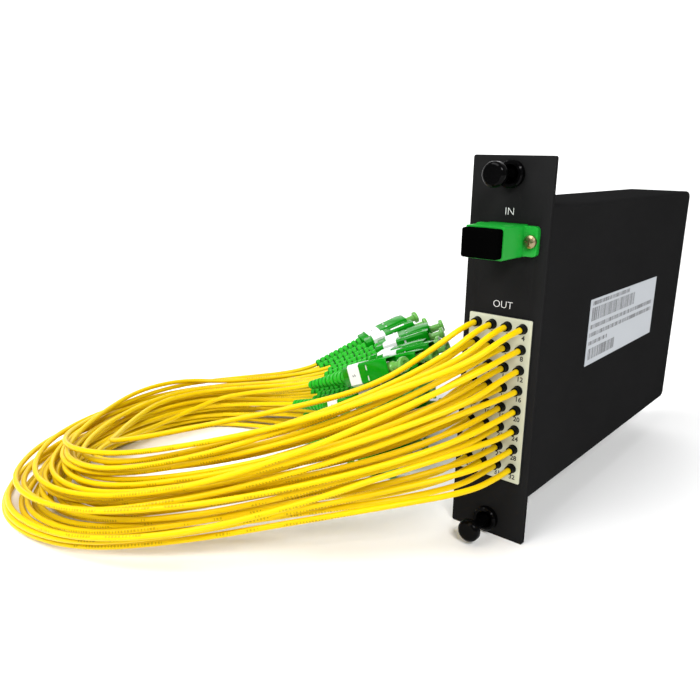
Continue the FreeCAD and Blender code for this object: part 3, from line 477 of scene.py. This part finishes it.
# ports and cords, numbered along the rows from the top
grid = {"columns": 4, "rows": 8, "pitchX": 5.5 * mm, "pitchZ": 6.9186 * mm, "low": 27.37 * mm}
midColumn = (grid["columns"] - 1) / 2
midLevel = (grid["rows"] - 1) / 2
cordNumbers = range(1, grid["columns"] * grid["rows"] + 1)
cordSizes = {"radius": 1.0 * mm, "lead": 9.0 * mm, "along": 10, "around": 3}
# middle of the bundle, in mm and degrees: x, y from the panel face, heading, gap between lanes, gap between
# levels, inward lean per level, height of the lowest level, weave of two levels into one, wander
stations = [
    (0.0, -2.5, 270.0, 5.5, 6.9186, 0.0, 27.37, 0.0, 0.0),
    (0.0, -9.5, 270.0, 5.5, 6.9186, 0.0, 27.27, 0.0, 0.0),
    (-4.0, -21.0, 250.0, 5.2, 6.0, 0.4, 27.0, 0.0, 0.5),
    (-18.0, -38.0, 231.0, 4.8, 4.7, 1.1, 24.0, 0.0, 1.6),
    (-41.0, -56.0, 221.0, 4.4, 3.5, 1.7, 18.0, 0.0, 2.6),
    (-68.0, -76.0, 214.0, 4.2, 2.9, 2.2, 11.0, 0.0, 3.2),
    (-97.0, -92.0, 198.0, 4.2, 2.7, 2.6, 4.6, 0.0, 3.2),
    (-127.0, -94.0, 165.0, 4.2, 2.6, 2.7, 1.8, 0.0, 3.0),
    (-149.0, -79.0, 128.0, 4.4, 2.5, 2.5, 1.3, 0.0, 2.6),
    (-162.0, -54.0, 103.0, 4.6, 2.4, 1.8, 1.3, 0.05, 2.2),
    (-166.0, -27.0, 86.0, 4.8, 2.4, 0.9, 1.3, 0.12, 1.4),
    (-162.0, -5.0, 68.0, 5.0, 2.4, 0.3, 1.3, 0.20, 0.6),
    (-152.0, 12.0, 47.0, 5.2, 2.4, 0.0, 1.5, 0.25, 0.0),
]
# how much of the room between lanes and levels the cords wander into, and how fast that changes from cord
# to cord and from station to station
loose = {
    "laneShare": 0.42, "laneKept": 2.5, "levelShare": 0.4, "levelKept": 2.4, "woven": 4,
    "wanderPace": (2.1, 0.9), "lanePace": (1.3, 1.9), "levelPace": (0.7, 1.3),
}
# cords that leave their lane in the middle of the bundle, by up to so many mm, between these two stations
strayFrom, strayTo = 4, 9
stray = {
    1: -10.0, 2: -2.0, 5: -3.0, 8: 3.0, 9: -6.0, 12: 1.0, 13: -2.0, 16: 4.0, 17: -3.0, 20: 2.0,
    23: 1.5, 24: 6.0, 25: -4.0, 28: 3.0, 29: -2.0, 31: 1.0, 32: 3.0,
}
topCord = {"number": 1, "lift": (3.0, 5.0, 5.0, 3.0, 1.0, 0.0)}
# cords that cross their neighbours: first station, then how far out and up each goes from there on, in mm
sway = {
    3: (9, [(1.0, 1.8), (5.5, 3.0), (4.5, 2.5)]),
    4: (4, [(-3.0, 2.0), (-6.5, 4.0), (-8.5, 4.0), (-6.0, 4.0), (-2.0, 1.5)]),
    5: (8, [(-6.0, 0.0), (-7.0, -4.0), (-6.0, -6.0), (-3.5, -3.5)]),
    8: (4, [(6.2, 0.3), (9.0, -1.6), (6.5, -2.6), (4.5, -2.5), (1.0, -0.7)]),
    20: (4, [(2.0, 0.0), (7.0, 2.0), (8.0, 4.0), (4.0, 5.0), (-1.0, 5.0), (-1.0, 4.0), (0.0, 1.5)]),
    24: (5, [(4.0, 0.0), (4.4, 0.0), (3.5, 0.3), (1.5, 0.3)]),
}
# loose plugs: a fan in four layers, with the place and heading of its middle, how uneven it is and how fast
# that changes from plug to plug
fan = {
    "x": -148.571 * mm, "y": 17.639 * mm, "heading": 31.0, "radius": 24.0 * mm,
    "step": (10.8, 10.6, 9.8, 9.3), "rise": (0.0, 7.6, 15.0, 22.0), "twist": (2.0, 6.0, -6.0, -5.0),
    "push": (0.0, 3.0, 4.0, 11.0), "gap": 5.0 * mm, "lanePush": 2.4 * mm,
    "unevenPush": 3.0 * mm, "unevenTurn": 0.9, "unevenRoll": 3.0, "floorGap": 0.15 * mm,
    "pushPace": 2.3, "turnPace": 2.9, "rollPace": 5.1,
    "plugW": 9.0 * mm, "plugH": 7.4 * mm, "midLane": 3.5, "lastLane": 7,
}


def laneOf(n):
    row, column = divmod(n - 1, grid["columns"])
    return column, grid["rows"] - 1 - row


def plugPlace(n):
    # tail point of a loose plug, and its directions along, across and up
    column, level = laneOf(n)
    layer = level // 2
    lane = 2 * column + level % 2
    upright = (layer + lane) % 2 == 1
    turn = math.radians(fan["heading"] + (lane - fan["midLane"]) * fan["step"][layer] + fan["twist"][layer]
                        + fan["unevenTurn"] * math.sin(fan["turnPace"] * n))
    rise = math.radians(fan["rise"][layer])
    push = (fan["push"][layer] * mm + fan["lanePush"] * (fan["lastLane"] - lane)
            + fan["unevenPush"] * (1 + math.sin(fan["pushPace"] * n)))
    along = Vector((math.cos(turn) * math.cos(rise), math.sin(turn) * math.cos(rise), math.sin(rise)))
    halfHeight = fan["plugW"] / 2 if upright or layer > 0 else fan["plugH"] / 2
    out = fan["radius"] + push
    tail = Vector((fan["x"] + math.cos(turn) * out, panelY + fan["y"] + math.sin(turn) * out,
                   fan["floorGap"] + halfHeight + layer * fan["gap"] + push * math.sin(rise)))
    roll = math.radians(90.0 if upright else 0.0)
    if layer > 0:
        roll += math.radians(fan["unevenRoll"] * math.sin(fan["rollPace"] * n))
    side = Vector((-math.sin(turn), math.cos(turn), 0))
    top = along.cross(side)
    across = side * math.cos(roll) + top * math.sin(roll)
    return tail, along, across, top * math.cos(roll) - side * math.sin(roll)


def wave(pace, n, k):
    return math.sin(pace[0] * n + pace[1] * k)


def cordRoute(n):
    # the control points of a cord's spline, out of its port and on to its plug
    column, level = laneOf(n)
    points = []
    for k, (x, y, heading, laneGap, levelGap, lean, lowZ, weave, wander) in enumerate(stations):
        turn = math.radians(heading)
        off = (column - midColumn) * laneGap - (level - midLevel) * lean
        off += (1 if level % 2 else -1) * weave * laneGap + wander * wave(loose["wanderPace"], level, k)
        z = lowZ + level * levelGap
        if wander > 0:
            room = laneGap - loose["laneKept"]
            off += loose["laneShare"] * room * wave(loose["lanePace"], n, k) * (1 - loose["woven"] * weave)
            z += loose["levelShare"] * (levelGap - loose["levelKept"]) * wave(loose["levelPace"], n, k)
        if strayFrom <= k <= strayTo:
            off += stray.get(n, 0.0) * math.sin(math.pi * (k - strayFrom + 1) / (strayTo - strayFrom + 2))
            if n == topCord["number"]:
                z += topCord["lift"][k - strayFrom]
        first, moves = sway.get(n, (0, []))
        if 0 <= k - first < len(moves):
            off += moves[k - first][0]
            z += moves[k - first][1]
        place = Vector((x - off * math.sin(turn), y + off * math.cos(turn), z)) * mm
        points.append(place + Vector((0, panelY, 0)))
    tail, along, across, up = plugPlace(n)
    return points + [tail - along * cordSizes["lead"], tail]


def routeLength(curve):
    # length of the spline itself, read from it with no jacket on
    probe = bpy.data.objects.new("probe", curve)
    line = bpy.data.meshes.new_from_object(probe)
    points = [v.co.copy() for v in line.vertices]
    bpy.data.objects.remove(probe)
    bpy.data.meshes.remove(line)
    return sum((b - a).length for a, b in zip(points, points[1:]))


def makeCord(n):
    route = cordRoute(n)
    curve = bpy.data.curves.new("cord", "CURVE")
    curve.dimensions = "3D"
    spline = curve.splines.new("NURBS")
    spline.points.add(len(route) - 1)
    for point, place in zip(spline.points, route):
        point.co = (*place, 1)
    spline.order_u = 3
    spline.use_endpoint_u = True
    spline.resolution_u = cordSizes["along"]
    spline.use_smooth = True
    length = routeLength(curve)
    curve.bevel_depth = cordSizes["radius"]
    curve.bevel_resolution = cordSizes["around"]
    curve.use_fill_caps = True
    curve.materials.append(looks["cord_yellow"])
    piece = linked("cord%02d" % n, curve)
    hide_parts("cord_%02d" % n)
    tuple(route[0])
    return length


lengths = [makeCord(n) for n in cordNumbers]
print("cords: %d, from %.0f to %.0f mm" % (len(lengths), min(lengths) / mm, max(lengths) / mm))


# plain meshes, drawn in mm along x
def turned(name, profile, steps, closed=False):
    # (x, radius) points turned about the x axis
    points = []
    for x, radius in profile:
        for i in range(steps):
            angle = 2 * math.pi * i / steps
            points.append((x, radius * math.cos(angle), radius * math.sin(angle)))
    return skinned(name, points, steps, closed)


def lofted(name, sections, closed=False):
    # eight-sided sections (x, half width, half height, corner) joined along x
    points = []
    for x, halfW, halfH, corner in sections:
        inW, inH = halfW - corner, halfH - corner
        ring = [(halfW, -inH), (halfW, inH), (inW, halfH), (-inW, halfH),
                (-halfW, inH), (-halfW, -inH), (-inW, -halfH), (inW, -halfH)]
        points += [(x, y, z) for y, z in ring]
    return skinned(name, points, 8, closed)


def skinned(name, points, steps, closed):
    rings = len(points) // steps
    faces = []
    for ring in range(rings if closed else rings - 1):
        near = ring * steps
        far = (ring + 1) % rings * steps
        for i in range(steps):
            j = (i + 1) % steps
            faces.append((near + i, near + j, far + j, far + i))
    if not closed:
        faces += [tuple(range(steps)), tuple(range(len(points) - steps, len(points)))]
    return tidied(meshFrom(name, [Vector(point) * mm for point in points], faces))


def template(mesh):
    # an unlinked object that node trees copy from
    return bpy.data.objects.new(mesh.name, mesh)


carvedLook = {"softFrom": 30, "smooth": 40, "segments": 1}


def carved(body, cutters, soften):
    # the body less its cutters, with its edges softened
    piece = linked(body.name, body, None)
    tools = [linked(cutter.name, cutter, None) for cutter in cutters]
    for tool in tools:
        cut = piece.modifiers.new("cut", "BOOLEAN")
        cut.operation = "DIFFERENCE"
        cut.solver = "EXACT"
        cut.object = tool
    softened(piece, soften, carvedLook["segments"], carvedLook["softFrom"])
    for used in tools + [piece]:
        bpy.context.scene.collection.objects.unlink(used)
    tidied(piece.data, carvedLook["smooth"])
    return piece


# node trees for what repeats; each ends in plain geometry with its material
def nodeTree(name, inputs, build):
    tree = bpy.data.node_groups.new(name, "GeometryNodeTree")
    tree.interface.new_socket("Geometry", in_out="INPUT", socket_type="NodeSocketGeometry")
    for title, kind in inputs:
        tree.interface.new_socket(title, in_out="INPUT", socket_type="NodeSocket" + kind)
    tree.interface.new_socket("Geometry", in_out="OUTPUT", socket_type="NodeSocketGeometry")
    graph = Graph(tree)
    shape = build(graph, graph.node("NodeGroupInput"))
    solid = graph.node("GeometryNodeRealizeInstances", None, [shape])
    look = graph.tree.nodes["Group Input"].outputs["Material"]
    painted = graph.node("GeometryNodeSetMaterial", None, {"Geometry": solid, "Material": Sock(graph, look)})
    graph.node("NodeGroupOutput", None, [painted])
    return tree


def ribs(graph, given):
    # rings of growing radius along x, with a flattened link between each two, turned a quarter each time
    count = given.of("Count")
    pitch = given.of("Pitch")
    step = graph.node("ShaderNodeCombineXYZ", None, {"X": pitch})
    place = graph.node("GeometryNodeInputIndex")

    def row(number, start, thing, turn):
        begin = graph.node("ShaderNodeCombineXYZ", None, {"X": pitch * start})
        spaced = {"Count": number, "Start Location": begin, "Offset": step}
        line = graph.node("GeometryNodeMeshLine", None, spaced)
        radius = given.of("Small") + (given.of("Large") - given.of("Small")) * (place / count)
        size = graph.node("ShaderNodeCombineXYZ", None, {"X": 1.0, "Y": radius, "Z": radius})
        shape = graph.node("GeometryNodeObjectInfo", None, {"Object": given.of(thing)}).of("Geometry")
        spin = graph.node("ShaderNodeCombineXYZ", None, {"X": (place % 2.0) * turn})
        placed = {"Points": line, "Instance": shape, "Rotation": spin, "Scale": size}
        return graph.node("GeometryNodeInstanceOnPoints", None, placed)

    rings = row(count, 0.5, "Ring", 0.0)
    links = row(count - 1.0, 1.0, "Link", math.pi / 2)
    # the core is marked "slot", where the boot finish paints shade between the rings
    marked = {"Geometry": given.of("Geometry"), "Name": "slot", "Value": 1.0}
    core = graph.node("GeometryNodeStoreNamedAttribute", None, marked)
    return graph.node("GeometryNodeJoinGeometry", None, {"Geometry": [rings, links, core]})


def scatter(graph, given):
    # one copy of the template at each point, turned as the point's "turn" says
    shape = graph.node("GeometryNodeObjectInfo", None, {"Object": given.of("Template")}).of("Geometry")
    named = {"data_type": "FLOAT_VECTOR"}
    turn = graph.node("GeometryNodeInputNamedAttribute", named, {"Name": "turn"}).of("Attribute")
    placed = {"Points": given.of("Geometry"), "Instance": shape, "Rotation": turn}
    return graph.node("GeometryNodeInstanceOnPoints", None, placed)


ribInputs = [
    ("Ring", "Object"), ("Link", "Object"), ("Count", "Int"), ("Pitch", "Float"),
    ("Small", "Float"), ("Large", "Float"), ("Material", "Material"),
]
ribTree = nodeTree("ribs", ribInputs, ribs)
scatterTree = nodeTree("scatter", [("Template", "Object"), ("Material", "Material")], scatter)


def grown(piece, tree, values):
    # runs a node tree on the piece and keeps the result as its plain mesh
    modifier = piece.modifiers.new(tree.name, "NODES")
    modifier.node_group = tree
    for item in tree.interface.items_tree:
        if item.in_out == "INPUT" and item.name in values:
            modifier[item.identifier] = values[item.name]
    settled(piece)


def pointCloud(name, places):
    # one vertex for each (place, turn)
    mesh = meshFrom(name, [place[:] for place, turn in places], [])
    turns = mesh.attributes.new("turn", "FLOAT_VECTOR", "POINT")
    for item, (place, turn) in zip(turns.data, places):
        item.vector = turn[:]
    return mesh


def scattered(name, places, shape, slot, *nodes):
    piece = linked(name, pointCloud(name, places), None)
    grown(piece, scatterTree, {"Template": shape, "Material": looks[slot]})
    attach(piece, "cassette")
    if nodes:
        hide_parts(*nodes)


def plugTurn(n):
    tail, along, across, up = plugPlace(n)
    return tail, Matrix((along, across, up)).transposed().to_euler()


# the boot, from the plug's tail: rings of 1 m radius that the node tree scales to size, the flattened links
# between them, and the tapering core, as (x, radius); lengths in mm where no mm is named
bootLook = {
    "count": 10, "pitch": 2.6 * mm, "small": 1.95 * mm, "large": 3.2 * mm, "sides": 16,
    "ring": [(-0.95, 0.6), (-0.95, 0.9), (-0.7, 0.97), (0.7, 1.03), (0.95, 0.96), (0.95, 0.6)],
    "link": [(-0.3, 0.93), (0.3, 0.93)], "flat": 0.62,
    "core": [(0.0, 1.2), (0.3, 1.45), (25.8, 2.3), (26.2, 2.3)], "coreSides": 12, "smooth": 40,
}


def makeBoot(look):
    ring, link = (turned(name, [(x, radius / mm) for x, radius in look[name]], look["sides"])
                  for name in ("ring", "link"))
    for point in link.vertices:
        point.co.z *= look["flat"]
    core = linked("boot", turned("boot", look["core"], look["coreSides"]), None)
    grown(core, ribTree, {
        "Ring": template(ring), "Link": template(link), "Count": look["count"], "Pitch": look["pitch"],
        "Small": look["small"], "Large": look["large"], "Material": looks["boot_green"],
    })
    bpy.context.scene.collection.objects.unlink(core)
    shaded(core.data, look["smooth"])
    return core


# the grip: sections as (x, half width, half height, corner), in mm. A window goes right through, with a sunk
# panel round it on each side, and each slit lies between "near" and "far" from the middle
gripLook = {
    "body": [
        (25.9, 3.9, 3.15, 0.7), (26.3, 4.15, 3.4, 0.8), (29.0, 4.15, 3.4, 0.8), (29.3, 4.5, 3.7, 0.9),
        (48.6, 4.5, 3.7, 0.9), (51.4, 4.15, 3.35, 0.9), (51.9, 3.95, 3.15, 0.9),
    ],
    "bore": [(28.2, 3.05, 2.7, 0.3), (46.0, 3.05, 2.7, 0.3)],
    "mouth": [(44.9, 3.7, 2.95, 0.4), (53.0, 3.7, 2.95, 0.4)],
    "window": {"from": 40.2, "to": 47.4, "half": 1.7, "corner": 0.8},
    "panel": {"from": 38.6, "to": 49.6, "half": 2.45, "corner": 0.3, "face": 4.15, "past": 1},
    "slit": {"from": 40.2, "to": 41.2, "near": 1.1, "far": 3.3, "corner": 0.1},
    "past": 6, "soften": 0.12 * mm,
}
# the white housing that shows in the grip's windows and slits
linerLook = {
    "windowLiners": {"gap": 0.05, "halfW": 4.03, "halfH": 1.65, "corner": 0.4, "fills": "window"},
    "slitLiners": {"gap": 0.03, "halfW": 3.3, "halfH": 3.35, "corner": 0.2, "fills": "slit"},
}


def straightBar(name, place, halfW, halfH, corner, inset=0.0):
    ends = (place["from"] + inset, place["to"] - inset)
    return lofted(name, [(x, halfW, halfH, corner) for x in ends])


def makeGrip(look):
    window, panel, slit = look["window"], look["panel"], look["slit"]
    cutters = [lofted("bore", look["bore"]), lofted("mouth", look["mouth"])]
    cutters.append(straightBar("window", window, look["past"], window["half"], window["corner"]))
    for side in (-1, 1):
        sunk = straightBar("panel", panel, panel["past"], panel["half"], panel["corner"])
        sunk.transform(Matrix.Translation((0, side * (panel["face"] + panel["past"]) * mm, 0)))
        cutters.append(sunk)
        near, far = slit["near"], slit["far"]
        gap = straightBar("slit", slit, (far - near) / 2, look["past"], slit["corner"])
        gap.transform(Matrix.Translation((0, side * (near + far) / 2 * mm, 0)))
        cutters.append(gap)
    return carved(lofted("grip", look["body"]), cutters, look["soften"])


def linerShapes():
    for name, look in linerLook.items():
        sizes = (look["halfW"], look["halfH"], look["corner"])
        yield name, straightBar(look["fills"] + "Liner", gripLook[look["fills"]], *sizes, look["gap"])


# the number sleeve, in mm, and its figures
tagLook = {
    "from": 30.0, "to": 36.5, "halfW": 4.62, "halfH": 3.82, "corner": 0.9, "wall": 0.12,
    "digits": 2.6 * mm,
}


def makeTag(look):
    ends = (look["from"], look["to"])
    outer = [(x, look["halfW"], look["halfH"], look["corner"]) for x in ends]
    inner = [(x, w - look["wall"], h - look["wall"], c) for x, w, h, c in reversed(outer)]
    return template(lofted("tag", outer + inner, closed=True))


# the clear dust cap on the plug's ferrule, as (x, radius) in mm
tipLook = {
    "sides": 20,
    "profile": [
        (48.9, 1.35), (48.9, 2.1), (52.4, 2.2), (52.8, 1.75), (56.7, 1.7), (57.0, 2.85), (57.3, 3.0),
        (58.3, 3.0), (58.6, 2.8), (58.6, 1.5), (58.1, 1.4), (50.0, 1.35),
    ],
}


def makePlugs():
    places = [plugTurn(n) for n in cordNumbers]
    scattered("plugBoots", places, makeBoot(bootLook), "boot_green", "plug_boots")
    scattered("plugGrips", places, makeGrip(gripLook), "plug_green", "plug_grips")
    scattered("numberSleeves", places, makeTag(tagLook), "plug_white", "plug_number_sleeves")
    for name, shape in linerShapes():
        scattered(name, places, template(shape), "plug_white")
    tips = turned("tip", tipLook["profile"], tipLook["sides"], closed=True)
    scattered("tipCaps", places, template(tips), "cap_clear_green", "plug_dust_caps")
    return len(places)


print("loose plugs:", makePlugs())


# the black sleeve where a cord leaves the output plate, as (x, radius) in mm with the plate's face at 0
outletLook = {
    "sides": 24, "turn": Euler((0, 0, math.pi / 2)),
    "profile": [
        (-2.5, 1.12), (-2.5, 1.26), (-2.3, 1.42), (-0.25, 1.5), (0.0, 1.72), (0.1, 1.72), (0.1, 1.12),
    ],
}


def portPlace(n):
    column, level = laneOf(n)
    x = (column - midColumn) * grid["pitchX"]
    return Vector((x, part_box("output_plate")[0].y, grid["low"] + level * grid["pitchZ"]))


def makeOutlets(look):
    shape = turned("outlet", look["profile"], look["sides"], closed=True)
    places = [(portPlace(n), look["turn"]) for n in cordNumbers]
    scattered("outlets", places, template(shape), "sleeve_black", "port_sleeves")
    return len(places)


print("cord outlets:", makeOutlets(outletLook))


# printed figures: sizes of the letters, how far they stand off their surface, where they sit and how much
# thinner than the font they are
printLook = {
    "lift": 0.015 * mm, "plate": 2.3 * mm, "below": 3.1 * mm, "right": 0.35 * mm, "plateThinner": 0.03,
    "panel": 3.4 * mm, "panelThinner": -0.018, "words": {"IN": 112.3 * mm, "OUT": 82.4 * mm},
    "ahead": Vector((1, 0, 0)), "over": Vector((0, 0, 1)), "curve": 3,
}


def figureMesh(text, thinner):
    words = bpy.data.curves.new("figure", "FONT")
    words.body = text
    words.align_x = "CENTER"
    words.align_y = "CENTER"
    words.size = 1.0
    words.resolution_u = printLook["curve"]
    words.offset = thinner
    holder = bpy.data.objects.new("figure", words)
    mesh = bpy.data.meshes.new_from_object(holder)
    bpy.data.objects.remove(holder)
    return mesh


def printed(name, marks, look, thinner=0.0):
    # marks: text, middle, direction of reading, upward direction of the letters, size
    ready = {}
    whole = bmesh.new()
    for text, middle, right, up, size in marks:
        if text not in ready:
            ready[text] = figureMesh(text, thinner)
        turn = Matrix((right, up, right.cross(up))).transposed().to_4x4()
        copy = ready[text].copy()
        copy.transform(Matrix.Translation(middle) @ turn @ Matrix.Scale(size, 4))
        whole.from_mesh(copy)
        bpy.data.meshes.remove(copy)
    mesh = bpy.data.meshes.new(name)
    whole.to_mesh(mesh)
    whole.free()
    mesh.materials.append(look)
    linked(name, mesh)


def plateFigures():
    drop = Vector((printLook["right"], -printLook["lift"], -printLook["below"]))
    for n in cordNumbers:
        yield str(n), portPlace(n) + drop, printLook["ahead"], printLook["over"], printLook["plate"]


def tagFigures():
    # each plug's number on all four sides of its sleeve
    middle = (tagLook["from"] + tagLook["to"]) / 2 * mm
    for n in cordNumbers:
        tail, along, across, up = plugPlace(n)
        faces = [(up, tagLook["halfH"], across), (-up, tagLook["halfH"], -across),
                 (across, tagLook["halfW"], -up), (-across, tagLook["halfW"], up)]
        for outward, half, reading in faces:
            place = tail + along * middle + outward * (half * mm + printLook["lift"])
            yield str(n), place, reading, -along, tagLook["digits"]


def panelWords():
    for text, z in printLook["words"].items():
        place = Vector((0, panelY - printLook["lift"], z))
        yield text, place, printLook["ahead"], printLook["over"], printLook["panel"]


printed("plateFigures", plateFigures(), inkDark, printLook["plateThinner"])
printed("tagFigures", tagFigures(), inkDark)
printed("panelWords", panelWords(), inkWhite, printLook["panelThinner"])
print("figures printed")


# the floor bends up into the backdrop, turned to face the camera; lengths in metres
studio = {
    "floor": (0.97, 0.97, 0.97), "rough": 0.9, "specular": 0.1, "world": 0.35,
    "reach": 3.0, "halfWidth": 4.8, "back": 2.2, "bend": 0.8, "steps": 12, "high": 2.5, "turn": 40,
}


def makeBackdrop(look):
    bend, back, steps = look["bend"], look["back"], look["steps"]
    sweep = [(-look["reach"], 0.0)]
    for i in range(steps + 1):
        angle = math.radians(90 * i / steps)
        sweep.append((back - bend + bend * math.sin(angle), bend - bend * math.cos(angle)))
    sweep.append((back, look["high"]))
    turn = Matrix.Rotation(math.radians(look["turn"]), 3, "Z")
    points = [turn @ Vector((side * look["halfWidth"], y, z)) for side in (-1, 1) for y, z in sweep]
    count = len(sweep)
    faces = [(i, i + 1, count + i + 1, count + i) for i in range(count - 1)]
    mesh = meshFrom("backdrop", points, faces)
    mesh.shade_smooth()
    mesh.materials.append(finish("paper", lambda graph: {
        "Base Color": (*look["floor"], 1), "Roughness": look["rough"], "Specular IOR Level": look["specular"],
    }))
    floor = linked("backdrop", mesh, None)


def makeRoom(look):
    room = bpy.data.worlds.new("room")
    room.use_nodes = True
    background = room.node_tree.nodes["Background"]
    background.inputs["Color"].default_value = (1, 1, 1, 1)
    background.inputs["Strength"].default_value = look["world"]
    bpy.context.scene.world = room


# rectangular lamps: size in metres, power in watts
lamps = {
    "keyLamp": {
        "place": (-0.35, -0.75, 0.95), "aim": (-0.05, -0.05, 0.03), "size": (0.9, 0.8), "power": 14.5,
    },
    "sideLamp": {
        "place": (0.75, -0.7, 0.85), "aim": (0, -0.03, 0.06), "size": (0.32, 0.32), "power": 11.0,
    },
    "wallLamp": {
        "place": (-0.75, 0.9, 1.7), "aim": (-1.45, 1.75, 0.6), "size": (2.6, 0.6), "power": 34.0,
    },
}


def makeLamp(name, look):
    lamp = bpy.data.lights.new(name, "AREA")
    lamp.shape = "RECTANGLE"
    lamp.size, lamp.size_y = look["size"]
    lamp.energy = look["power"]
    piece = bpy.data.objects.new(name, lamp)
    piece.location = look["place"]
    toAim = Vector(look["aim"]) - Vector(look["place"])
    piece.rotation_euler = toAim.to_track_quat("-Z", "Y").to_euler()
    bpy.context.scene.collection.objects.link(piece)


makeBackdrop(studio)
makeRoom(studio)
for name, look in lamps.items():
    makeLamp(name, look)
bpy.context.scene.view_settings.view_transform = "Standard"
print("studio ready, lamps:", len(lamps))
